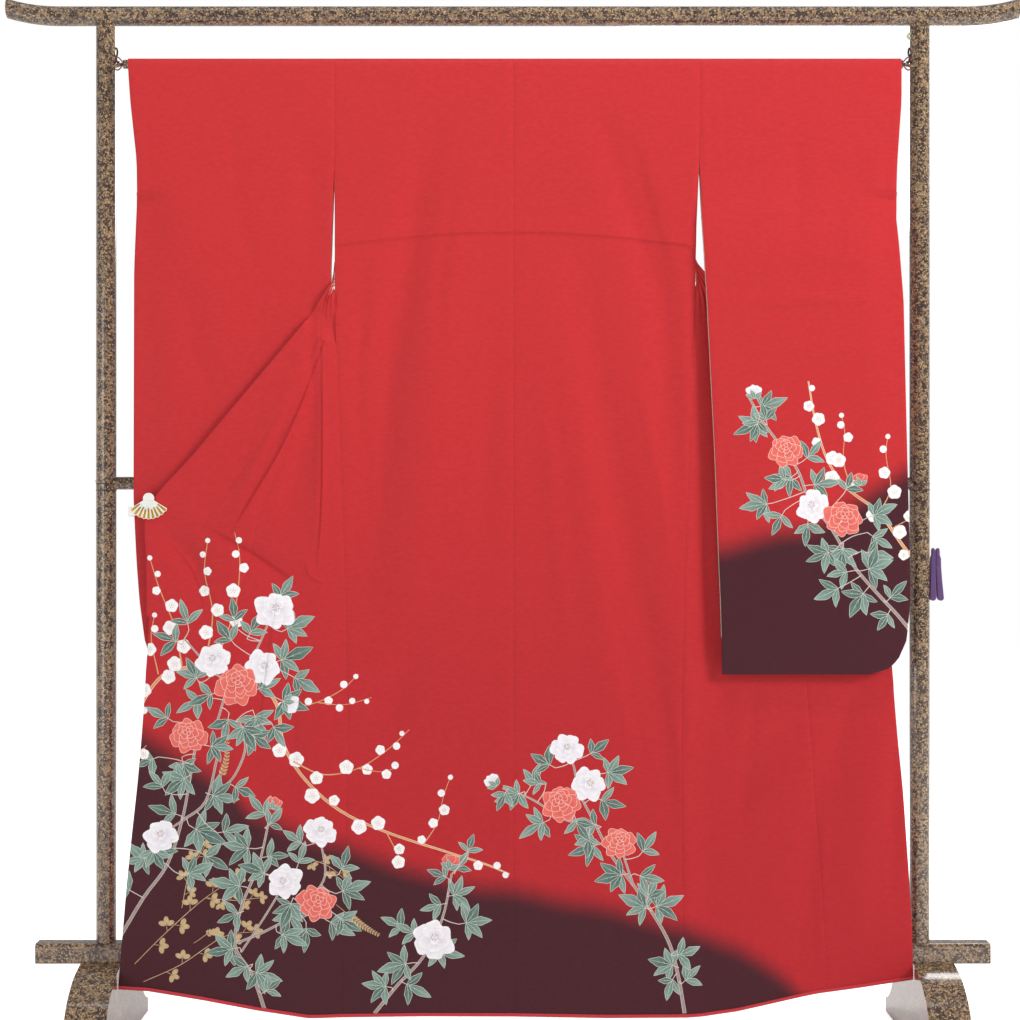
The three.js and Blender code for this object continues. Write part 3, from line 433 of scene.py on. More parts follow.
def planar_patch(sides, spacing, shapes):
    """Triangulates an outline with the printed shapes cut into it.

    sides are the outline's lines in order, each with whether its edge is turned in.
    Returns two patches with the same edge, one printed and one plain for the lining.
    Each holds its points, its triangles, each triangle's topmost shape or -1, and each
    point's distance from the turned edges.
    """
    outline, soft = [], []
    for line, turned in sides:
        fine = resample(line, spacing)
        outline += fine[:-1]
        soft += [turned] * (len(fine) - 1)
    outline, soft = np.array(outline), np.array(soft)
    if clockwise(outline):
        outline, soft = outline[::-1].copy(), np.roll(soft[::-1], -1)
    ends = np.roll(outline, -1, axis=0)
    low, high = outline.min(0), outline.max(0)
    rows = np.arange(low[1], high[1], spacing * 0.866)
    grid = []
    for i, z in enumerate(rows):
        xs = np.arange(low[0] + (i % 2) * spacing / 2, high[0], spacing)
        grid.append(columns_of(xs, np.full(len(xs), z)))
    grid = np.concatenate(grid)
    grid = grid[inside_outline(outline, grid)]
    grid = grid[edge_distance(outline, ends, grid) > 0.55 * spacing]
    inward = leftward(unit(ends - np.roll(outline, 1, axis=0)))
    near_edge = []
    turned = soft & np.roll(soft, 1)
    for depth in (1.4, 3.2):
        ring = (outline + depth * inward)[turned]
        if len(ring):
            ring = ring[inside_outline(outline, ring)]
            near_edge.append(ring[edge_distance(outline, ends, ring) > 0.9 * depth])
    folded = []
    across_back = np.linspace(-HALF_BACK, HALF_BACK, 41)
    tuck_line = columns_of(across_back, tuck_z(across_back))
    for line in (*(pleat[0] for pleat in pleat_lines()), tuck_line):
        line = np.array(resample(line, spacing / 2))
        across = leftward(unit(np.gradient(line, axis=0)))
        for aside in (-4.0, -1.5, 0.0, 1.5, 4.0):
            row = line + aside * across
            row = row[inside_outline(outline, row)]
            folded.append(row[edge_distance(outline, ends, row) > 1.5])
    folded = np.concatenate(folded)
    if len(folded):
        apart = np.ones(len(grid), bool)
        for i in range(0, len(folded), 200):
            gap = np.linalg.norm(grid[:, None] - folded[None, i : i + 200], axis=2)
            apart &= gap.min(1) > 0.4 * spacing
        grid = grid[apart]
    steiner = np.concatenate([grid, folded, *near_edge])
    wanted = [
        index for index, shape in enumerate(shapes)
        if (shape["points"].max(0) > low).all() and (shape["points"].min(0) < high).all()
    ]
    patches = []
    edge_points = outline
    for cut in (wanted, []):
        flat, triangles, tops = cut_patch(edge_points, steiner, shapes, cut)
        distance = np.full(len(flat), 1e3)
        if soft.any():
            distance = edge_distance(outline[soft], ends[soft], flat)
        patches.append((flat, triangles, tops, distance))
        follower = dict(boundary(triangles).tolist())
        loop = [next(iter(follower))]
        while follower[loop[-1]] != loop[0]:
            loop.append(follower[loop[-1]])
        edge_points = flat[loop]
    return patches


def cut_patch(outline, steiner, shapes, wanted):
    """Triangles inside an outline, cut along the wanted shapes."""
    points = [Vector(p) for p in np.concatenate([outline, steiner])]
    edges = [(i, (i + 1) % len(outline)) for i in range(len(outline))]
    for index in wanted:
        start, count = len(points), len(shapes[index]["points"])
        points += [Vector(p) for p in shapes[index]["points"]]
        edges += [(start + i, start + (i + 1) % count) for i in range(count)]
    result = delaunay_2d_cdt(points, edges, [], 0, 0.02, False)
    flat = np.array([(p[0], p[1]) for p in result[0]])
    triangles = np.array(result[2])
    triangles = triangles[inside_outline(outline, flat[triangles].mean(1))]
    tops = topmost_shapes(flat[triangles].mean(1), shapes, wanted)
    used, triangles = np.unique(triangles, return_inverse=True)
    flat = flat[used]
    triangles = triangles.reshape(-1, 3)
    a, b, c = (flat[triangles[:, i]] for i in range(3))
    area = (b[:, 0] - a[:, 0]) * (c[:, 1] - a[:, 1]) - (b[:, 1] - a[:, 1]) * (c[:, 0] - a[:, 0])
    triangles[area < 0] = triangles[area < 0][:, ::-1]
    return flat, triangles, tops


def printed_tones(flat, triangles, tops, shapes, ground):
    """A colour for each corner: the ground's, or the topmost printed shape's."""
    tones = ground(flat[:, 0], flat[:, 1])[triangles]
    on = tops >= 0
    if on.any():
        owner = tops[on]
        centre, radius, inner, outer = (
            np.array([shape[key] for shape in shapes])[owner]
            for key in ("centre", "radius", "inner", "outer")
        )
        corners = flat[triangles[on]]
        t = np.linalg.norm(corners - centre[:, None], axis=2) / radius[:, None]
        t = np.clip(t, 0, 1)[..., None]
        tones[on] = mix(inner[:, None], outer[:, None], t)
    return tones


def boundary(faces):
    """Directed edges that belong to one triangle only."""
    edges = np.concatenate([faces[:, [0, 1]], faces[:, [1, 2]], faces[:, [2, 0]]])
    low, high = edges.min(1), edges.max(1)
    code = low * (faces.max() + 1) + high
    _, first, count = np.unique(code, return_index=True, return_counts=True)
    return edges[first[count == 1]]


def joined(surfaces, tolerance=0.05):
    """One surface from several, with their meeting edges welded."""
    offset = 0
    points, faces, tones = [], [], []
    for surface in surfaces:
        points.append(surface.points)
        faces.append(surface.faces + offset)
        tones.append(surface.tones)
        offset += len(surface.points)
    points, faces, tones = map(np.concatenate, (points, faces, tones))
    rim = np.unique(boundary(faces))
    places = points[rim]
    target = np.arange(len(points))
    gaps = np.linalg.norm(places[:, None] - places[None], axis=2)
    for i, row in enumerate(gaps):
        match = np.nonzero(row[:i] < tolerance)[0]
        if len(match):
            target[rim[i]] = target[rim[match[0]]]
    faces = target[faces]
    whole = (
        (faces[:, 0] != faces[:, 1]) & (faces[:, 1] != faces[:, 2]) & (faces[:, 2] != faces[:, 0])
    )
    faces, tones = faces[whole], tones[whole]
    used, faces = np.unique(faces, return_inverse=True)
    return Surface(points[used], faces.reshape(-1, 3), tones)


def grid_surface(grid, tone_at):
    """A surface from rows of points; its outer side is seen with the rows running down
    and the columns running to the right."""
    grid = np.asarray(grid, float)
    rows, columns = grid.shape[:2]
    index = np.arange(rows * columns).reshape(rows, columns)
    a, b = index[:-1, :-1].ravel(), index[1:, :-1].ravel()
    c, d = index[1:, 1:].ravel(), index[:-1, 1:].ravel()
    faces = np.concatenate([columns_of(a, b, c), columns_of(a, c, d)])
    points = grid.reshape(-1, 3)
    return Surface(points, faces, tone_at(points[:, 0], points[:, 2])[faces])


def vertex_normals(points, faces):
    a, b, c = (points[faces[:, i]] for i in range(3))
    area = np.cross(b - a, c - a)
    normals = np.zeros_like(points)
    for i in range(3):
        np.add.at(normals, faces[:, i], area)
    return unit(normals)


def closed_cloth(name, outer, lining, wall, tone_at, material):
    """Closes an outer surface with a lining of the same edge, a wall's thickness inside."""
    count = len(outer.points)
    inner = lining.points - wall * vertex_normals(lining.points, lining.faces)
    edges = boundary(outer.faces)
    inner_edge = np.unique(boundary(lining.faces))
    partner = np.zeros(count, int)
    for i in np.unique(edges):
        gap = np.linalg.norm(lining.points[inner_edge] - outer.points[i], axis=1)
        partner[i] = inner_edge[gap.argmin()]
    a, b = edges.T
    c, d = partner[a] + count, partner[b] + count
    rim = np.concatenate([columns_of(b, a, c), columns_of(b, c, d)])
    points = np.concatenate([outer.points, inner])
    back = lining.faces[:, ::-1]
    faces = np.concatenate([outer.faces, back + count, rim])
    edge_tone = np.zeros((count, 3))
    edge_tone[outer.faces.ravel()] = outer.tones.reshape(-1, 3)
    rim_tones = edge_tone[np.concatenate([columns_of(b, a, a), columns_of(b, a, b)])]
    inner_tones = tone_at(lining.points[:, 0], lining.points[:, 2])[back]
    tones = np.concatenate([outer.tones, inner_tones, rim_tones])
    return make_piece(name, points, faces, material, tones)


def make_piece(name, points, faces, material, tones=None):
    """An object of triangles in millimetres, with a colour for each corner where given."""
    mesh = bpy.data.meshes.new(name)
    points, faces = np.asarray(points, np.float32) * MM, np.asarray(faces, np.int32)
    whole = (faces != np.roll(faces, 1, axis=1)).all(1)
    faces = faces[whole]
    mesh.vertices.add(len(points))
    mesh.vertices.foreach_set("co", points.ravel())
    mesh.loops.add(faces.size)
    mesh.loops.foreach_set("vertex_index", faces.ravel())
    mesh.polygons.add(len(faces))
    mesh.polygons.foreach_set("loop_start", np.arange(0, faces.size, 3, dtype=np.int32))
    mesh.update(calc_edges=True)
    if tones is not None:
        colours = np.ones((len(mesh.loops), 4), np.float32)
        colours[:, :3] = tones[whole].reshape(-1, 3)
        layer = mesh.color_attributes.new(name="print", type="FLOAT_COLOR", domain="CORNER")
        layer.data.foreach_set("color", colours.ravel())
    return add_object(mesh, material, 50)


def add_object(mesh, material, sharp=None):
    """An object of a mesh, made smooth but for the edges sharper than an angle, if given."""
    if sharp:
        mesh.shade_smooth()
        mesh.set_sharp_from_angle(angle=math.radians(sharp))
    mesh.materials.append(material)
    piece = bpy.data.objects.new(mesh.name, mesh)
    bpy.context.scene.collection.objects.link(piece)
    return piece


# ---- the fronts' rows ---------------------------------------------------------------------


def skirt_z(x, row):
    top = SKIRT["z"] - SKIRT["sag"] * (x / HALF_BACK) ** 2
    return mix(top, read(HEM, "x", x, "z"), row / SKIRT["rows"])


def front_rows(name):
    """Rows of a front below the rod, as columns; their index is a row number."""
    gather, spread = (
        (LEFT_GATHER, LEFT_SPREAD) if name == "left" else (RIGHT_GATHER, RIGHT_SPREAD)
    )
    x0 = float(read(SIDE_EDGE, "z", ROD["z"], name))
    x3 = math.copysign(NECK_HALF, x0)
    below = dict(x0=x0, z0=ROD["z"], x3=x3, z3=ROD["z"], front=1, okumi=1, y=FAR, lay=0)
    rows = {key: [below[key], *gather[key]] for key in gather}
    for i in range(len(spread["x3"])):
        z0 = float(skirt_z(read(SIDE_EDGE, "z", skirt_z(x0, i + 1), name), i + 1))
        rows["z0"].append(z0)
        rows["x0"].append(float(read(SIDE_EDGE, "z", z0, name)))
        rows["y"].append(0.0)
        rows["lay"].append(1.0)
        for key in spread:
            rows[key].append(spread[key][i])
    return {key: np.array(values, float) for key, values in rows.items()}


def row_at(rows, place):
    """A row between two listed ones. Free edges bend smoothly, side edges are straight."""
    last = len(rows["x0"]) - 1
    i = min(int(place), last - 1)
    t = place - i
    row = {}
    for key, values in rows.items():
        a, b = values[i], values[i + 1]
        smooth = key in ("x3", "z3") or (key in ("x0", "z0", "y") and place < SPREAD_START)
        if smooth and i > 0:
            before, after = values[i - 1], values[min(i + 2, last)]
            row[key] = 0.5 * (
                2 * a
                + (b - before) * t
                + (2 * before - 5 * a + 4 * b - after) * t**2
                + (3 * a - before - 3 * b + after) * t**3
            )
        else:
            row[key] = mix(a, b, t)
    row["place"] = place
    return row


def row_points(row, shares, shift):
    """Points of a row at shares of its width, moved along it by the shifts."""
    length = math.hypot(row["x3"] - row["x0"], row["z3"] - row["z0"])
    at = np.asarray(shares) + np.asarray(shift) / length
    x = mix(row["x0"], row["x3"], at)
    z = mix(row["z0"], row["z3"], at)
    return x, z


def strip_shares(row, strip, count):
    """Shares and seam shifts of the points across one strip of a front."""
    bounds = {
        "front": (0.0, row["front"]),
        "okumi": (row["front"], row["okumi"]),
        "collar": (row["okumi"], 1.0),
    }[strip]
    t = np.linspace(0, 1, count)
    inner = SEAM / 2
    outer = 0 if strip == "collar" else -SEAM / 2
    return mix(bounds[0], bounds[1], t), mix(inner, outer, t)


def gather_grid(rows, strip, first, columns, name=None):
    """Points of a strip from its first row to the spread cloth."""
    grid = []
    steps = 6
    for place in np.linspace(first, SPREAD_START, int((SPREAD_START - first) * steps) + 1):
        row = row_at(rows, place)
        x, z = row_points(row, *strip_shares(row, strip, columns))
        if strip == "front":
            side = math.copysign(1, x[0])
            edge = read(SIDE_EDGE, "z", z, name) - side * 0.4
            pull = ease(4, 5, place) * ease(8, 7.6, place) * np.linspace(1, 0, columns) ** 3
            x = mix(x, edge, pull)
        y = mix(row["y"], fine_spread_y(x, z), row["lay"])
        squeezed = ease(1.6, 4, place) * ease(8, 6.2, place)
        share = strip_shares(row, strip, columns)[0]
        pleat = np.sin(share * 34 + 0.6 * place) * np.sin(math.pi * np.clip(share, 0, 1))
        grid.append(columns_of(x, y + 1.5 * squeezed * pleat, z))
    return np.array(grid)


def spread_outline(rows, strip, last, columns):
    """The sides of a strip's flat stretch, with whether each is a turned edge."""
    places = np.linspace(SPREAD_START, last, int((last - SPREAD_START) * 4) + 1)
    inner, outer = [], []
    for place in places:
        row = row_at(rows, place)
        shares, shifts = strip_shares(row, strip, columns)
        x, z = row_points(row, shares, shifts)
        if place == last and last > COLLAR_END:
            z = read(HEM, "x", x, "z")
        inner.append((x[0], z[0]))
        outer.append((x[-1], z[-1]))
        bottom = columns_of(x, z)
        if place == SPREAD_START:
            top = bottom
    if last > COLLAR_END:
        xs = np.linspace(bottom[0, 0], bottom[-1, 0], 24)
        bottom = columns_of(xs, read(HEM, "x", xs, "z"))
    return [
        (top[::-1], False),
        (np.array(inner), True),
        (bottom, last > COLLAR_END or strip == "collar"),
        (np.array(outer)[::-1], True),
    ]


def turned_in(distance):
    return EDGE_TURN["depth"] * np.exp(-((distance / EDGE_TURN["width"]) ** 2))


def spread_surfaces(sides, spacing, shapes, ground):
    """The printed surface of a flat stretch and the plain one for its lining."""
    surfaces = []
    for flat, triangles, tops, distance in planar_patch(sides, spacing, shapes):
        x, z = flat.T
        depth = fine_spread_y(x, np.minimum(z, ROD["z"])) + turned_in(distance)
        tones = printed_tones(flat, triangles, tops, shapes, ground)
        surfaces.append(Surface(hung(x, z, -1, depth), triangles, tones))
    return surfaces


# ---- printed flowers ------------------------------------------------------------------------

# Colours of each printed tone, at a shape's centre and at its rim.
TONES = {
    "leaf": ("5C7A72", "92AAA0"), "leaf_shade": ("445E58", "718B82"),
    "leaf_line": ("D1D5C6", "C0CABC"), "coral": ("CA4647", "EA776C"),
    "coral_line": ("F5BEAE", "F8D0C4"), "white": ("CFC5D3", "F8F5F7"),
    "white_line": ("E0DBE5", "FFFFFF"), "plum": ("F0E9E8", "F9F6F5"),
    "plum_line": ("DCC9CB", "DCC9CB"), "dots": ("B9A24F", "B9A24F"),
    "twig": ("D09367", "DDA87E"), "twig_line": ("F0D5B3", "F0D5B3"),
    "stem": ("A3918B", "A3918B"), "stem_line": ("D1C4BC", "D1C4BC"),
    "gold": ("D5BB92", "B59A70"),
}
# Rings of petals, outermost first: share of the radius, petals, half angle, lift.
PETALS = {
    "coral": rows_of("""
        1.0 7 0.52 0, 0.78 6 0.56 0.05, 0.58 5 0.6 0.12, 0.4 4 0.66 0.2, 0.22 3 0.8 0.22
    """),
    "white": rows_of("1.0 6 0.6 0, 0.74 5 0.62 0.08, 0.42 3 0.8 0.16"),
}
# Turns of a leaf's leaflets from its stalk.
LEAFLETS = {3: (0.95, -0.85, 0.05), 5: (1.5, -1.45, 0.72, -0.66, 0.04)}


def grown(points, by):
    """The polygon with its corners moved out."""
    return points - by * leftward(unit(np.roll(points, -1, axis=0) - np.roll(points, 1, axis=0)))


class Print:
    """Shapes printed on the cloth, each over the ones before it."""

    def __init__(self, seed):
        self.shapes = []
        self.stems = []
        self.random = random.Random(seed)

    def about(self, value, share):
        return value * (1 + share * (2 * self.random.random() - 1))

    def wobble(self, width):
        return width * (self.random.random() - 0.5)

    def draw(self, spray):
        """Takes a spray's steps, each a method's name, its values and its rows of numbers."""
        for step in spray.split(";")[:-1]:
            head, *rows = step.split(":")
            name, *values = head.split()
            values = [v if v.isalpha() else number(v) for v in values]
            getattr(self, name)(*values, *map(rows_of, rows))

    def add(self, points, tone, centre=None, radius=None):
        points = np.asarray(points, float)
        if clockwise(points):
            points = points[::-1]
        if centre is None:
            centre = points.mean(0)
        if radius is None:
            radius = np.linalg.norm(points - centre, axis=1).max()
        inner, outer = (np.array(linear(c)) for c in TONES[tone])
        self.shapes.append(
            {"points": points, "inner": inner, "outer": outer, "centre": centre, "radius": radius}
        )

    def outlined(self, points, tone, line, by, centre=None, radius=None):
        points = np.asarray(points, float)
        if clockwise(points):
            points = points[::-1]
        self.add(grown(points, by), line)
        self.add(points, tone, centre, radius)

    def stroke(self, line, start, end, tone, edge=None):
        """A tapering line; edge is the tone of its outline."""
        line = smooth_line(line)
        width = np.linspace(start, end, len(line))[:, None] / 2
        normal = leftward(unit(np.gradient(line, axis=0)))
        for half, colour in ((width + 0.7, edge), (width, tone)):
            if colour:
                self.add([*(line + normal * half), *(line - normal * half)[::-1]], colour)
        return line

    def leaflet(self, base, direction, length, width, bend, tone):
        t = np.linspace(0, 1, 10)
        angle = direction + bend * t
        step = np.stack([np.cos(angle), np.sin(angle)], -1) * length / 9
        spine = base + np.concatenate([[(0, 0)], np.cumsum(step[:-1], axis=0)])
        tooth = 1 + self.about(0.22, 0.6) * np.exp(-(((t - 0.5) / 0.12) ** 2))
        half = (width / 2 * np.sin(np.pi * t**0.9) ** 0.9 * tooth)[:, None]
        normal = np.stack([-np.sin(angle), np.cos(angle)], -1)
        left, right = (spine + normal * half)[1:-1], (spine - normal * half)[1:-1]
        points = [spine[0], *left, spine[-1], *right[::-1]]
        self.outlined(points, tone, "leaf_line", 0.75, np.asarray(base), length)
        rib = np.linspace(0.9, 0.3, 9)[:, None] / 2 * normal[:9]
        self.add([*(spine[:9] + rib), *(spine[:9] - rib)[::-1]], "leaf_line")
        for i, side in ((2, 1), (2, -1), (4, 1), (4, -1)):
            tip = spine[i + 2] + side * normal[i + 2] * half[i + 2] * 0.7
            self.add([spine[i] - step[0] * 0.06, spine[i] + step[0] * 0.08, tip], "leaf_line")

    def leaves(self, rows):
        """Divided leaves: x, z, direction, size and number of leaflets."""
        for x, z, direction, size, lobes in rows:
            self.leaf(np.array((x, z), float), math.radians(direction), size, lobes)

    def leaf(self, base, direction, size, lobes):
        ahead = toward(direction)
        reach, start = min((np.linalg.norm(p - base), tuple(p)) for p in np.concatenate(self.stems))
        if 4 < reach < 75:
            middle = mix(np.array(start), base, 0.55) - ahead * reach * 0.08
            self.stroke([start, middle, base], 1.7, 1.3, "stem_line")
        self.stroke([base, base + ahead * size * 0.3], 1.5, 1.1, "stem_line")
        fork = base + ahead * size * 0.25
        for turn in LEAFLETS[lobes]:
            turn += self.wobble(0.3)
            length = size * (0.86 - 0.16 * abs(turn)) * self.about(1, 0.14)
            tone = "leaf" if self.random.random() < 0.6 else "leaf_shade"
            bend = math.copysign(0.4, turn) if abs(turn) > 0.2 else self.wobble(0.5)
            start = fork + ahead * size * (0.1 if abs(turn) < 0.4 else 0.0)
            width = length * self.about(0.31, 0.12)
            self.leaflet(start, direction + turn, length, width, bend, tone)

    def petal(self, centre, direction, length, spread, tone, by):
        t = np.linspace(-1, 1, 10)
        phase = self.random.random() * 6.3
        radius = length * (1 - 0.26 * t**2 + 0.05 * np.cos(5 * t + phase))
        angle = direction + spread * t
        rim = centre + radius[:, None] * np.stack([np.cos(angle), np.sin(angle)], -1)
        first, last = (
            centre + 0.42 * length * toward(direction + spread * turn) for turn in (-0.8, 0.8)
        )
        back = centre - 0.06 * length * toward(direction)
        points = np.array([back, first, *rim, last])
        self.outlined(points, tone, tone + "_line", by, centre, length)

    def peony(self, x, z, radius, tone, facing):
        """A full flower seen from its front and a little below."""
        facing = math.radians(facing)
        middle = np.array((x, z))
        lift = toward(facing) * radius
        for share, count, spread, raised in PETALS[tone]:
            centre = middle + lift * raised
            start = facing + self.about(0.3, 0.5) + (math.pi / count if count % 2 else 0)
            order = sorted(range(count), key=lambda i: -math.cos(2 * math.pi * i / count))
            for i in order:
                turn = start + 2 * math.pi * i / count + self.wobble(0.14)
                squat = 1 - 0.14 * abs(math.cos(turn - facing))
                length = radius * share * squat * self.about(1, 0.07)
                self.petal(centre, turn, length, spread, tone, 0.8)
        if tone == "white":
            for i in range(7):
                spot = middle + lift * 0.14 + radius * 0.14 * toward(facing + 0.9 * i)
                self.disc(*spot, 1.1, "dots")

    def disc(self, x, z, radius, tone, sides=7, line=None):
        angle = np.linspace(0, 2 * math.pi, sides, endpoint=False) + 0.3
        points = np.stack([x + radius * np.cos(angle), z + radius * np.sin(angle)], -1)
        if line:
            self.add(grown(points, 0.7), line)
        self.add(points, tone)

    def bud(self, x, z, radius, tone, direction):
        """A closed flower in its sepals."""
        direction = math.radians(direction)
        centre = np.array((x, z), float)
        ahead = toward(direction)
        for turn in (-0.5, 0.5, 0):
            base = centre - ahead * radius * 0.5
            self.petal(base, direction + turn, radius * 1.5, 0.5, tone, 0.6)
        for turn in (-1.0, 1.0, 0.25):
            base = centre - ahead * radius * 0.7
            self.leaflet(base, direction + turn, radius * 1.2, radius * 0.5, 0.2, "leaf")

    def plum(self, x, z, radius):
        """A five-petalled blossom with its stamens."""
        start = self.random.random() * 6.3
        angle = np.linspace(0, 2 * math.pi, 25, endpoint=False)
        reach = radius * (0.8 + 0.2 * np.abs(np.cos(2.5 * angle)) ** 0.7)
        rim = np.stack([x + reach * np.cos(angle + start), z + reach * np.sin(angle + start)], -1)
        self.outlined(rim, "plum", "plum_line", 0.6)
        if radius > 8:
            for i in range(5):
                a = start + i * 1.257
                aside = 0.32 * radius
                self.disc(x + aside * math.cos(a), z + aside * math.sin(a), 0.75, "dots", 5)
            self.disc(x, z, 0.9, "dots", 5)

    def twig(self, start, end, line, blossoms):
        """A woody twig; blossoms are rows of share of its length, distance aside and radius."""
        path = self.stroke(line, start, end, "twig", "twig_line" if start > 3 else None)
        for share, aside, radius in blossoms:
            place = share * (len(path) - 1)
            i = min(int(place), len(path) - 2)
            along = path[i + 1] - path[i]
            normal = leftward(unit(along[None]))[0]
            spot = path[i] + along * (place - i) + normal * aside
            if radius < 7:
                self.disc(*(spot - normal * 1.5), radius * 0.8, "twig")
                self.disc(*spot, radius, "plum", 9, "plum_line")
            else:
                self.plum(*spot, radius)

    def stem(self, start, end, line):
        self.stems.append(self.stroke(line, start, end, "stem", "stem_line"))

    def clover(self, count, size, line):
        """A thin golden sprig with three-part leaves on either side."""
        path = self.stroke(line, 1.3, 0.8, "gold")
        for n in range(count):
            i = min(int((0.25 + 0.75 * n / max(count - 1, 1)) * (len(path) - 1)), len(path) - 2)
            along = path[i + 1] - path[i]
            away = math.atan2(along[1], along[0])
            if n < count - 1:
                away += 0.9 if n % 2 else -0.9
            spot = path[i] + size * 0.7 * toward(away)
            self.stroke([path[i], spot], 0.8, 0.7, "gold")
            for turn in (-1.25, 0, 1.25):
                ahead = toward(away + turn)
                t = np.linspace(0, 2 * math.pi, 9, endpoint=False)
                oval = np.stack([np.cos(t) * size * 0.42, np.sin(t) * size * 0.27], -1)
                turned = oval @ np.array((ahead, (-ahead[1], ahead[0])))
                self.add(spot + size * 0.42 * ahead + turned, "gold")

    def plume(self, size, line):
        """A golden seed head."""
        path = self.stroke(line, 1.0, 0.6, "gold")
        for n in range(12):
            place = (0.3 + 0.7 * n / 12) * (len(path) - 1)
            i = min(int(place), len(path) - 2)
            spot = mix(path[i], path[i + 1], place - i)
            along = path[i + 1] - path[i]
            grow = size * (1 - 0.6 * n / 12)
            for side in (-1, 1):
                ahead = toward(math.atan2(along[1], along[0]) + side * 0.8)
                tip = spot + grow * ahead
                wide = 0.25 * grow * np.array((-ahead[1], ahead[0]))
                self.add([spot, (spot + tip) / 2 + wide, tip, (spot + tip) / 2 - wide], "gold")


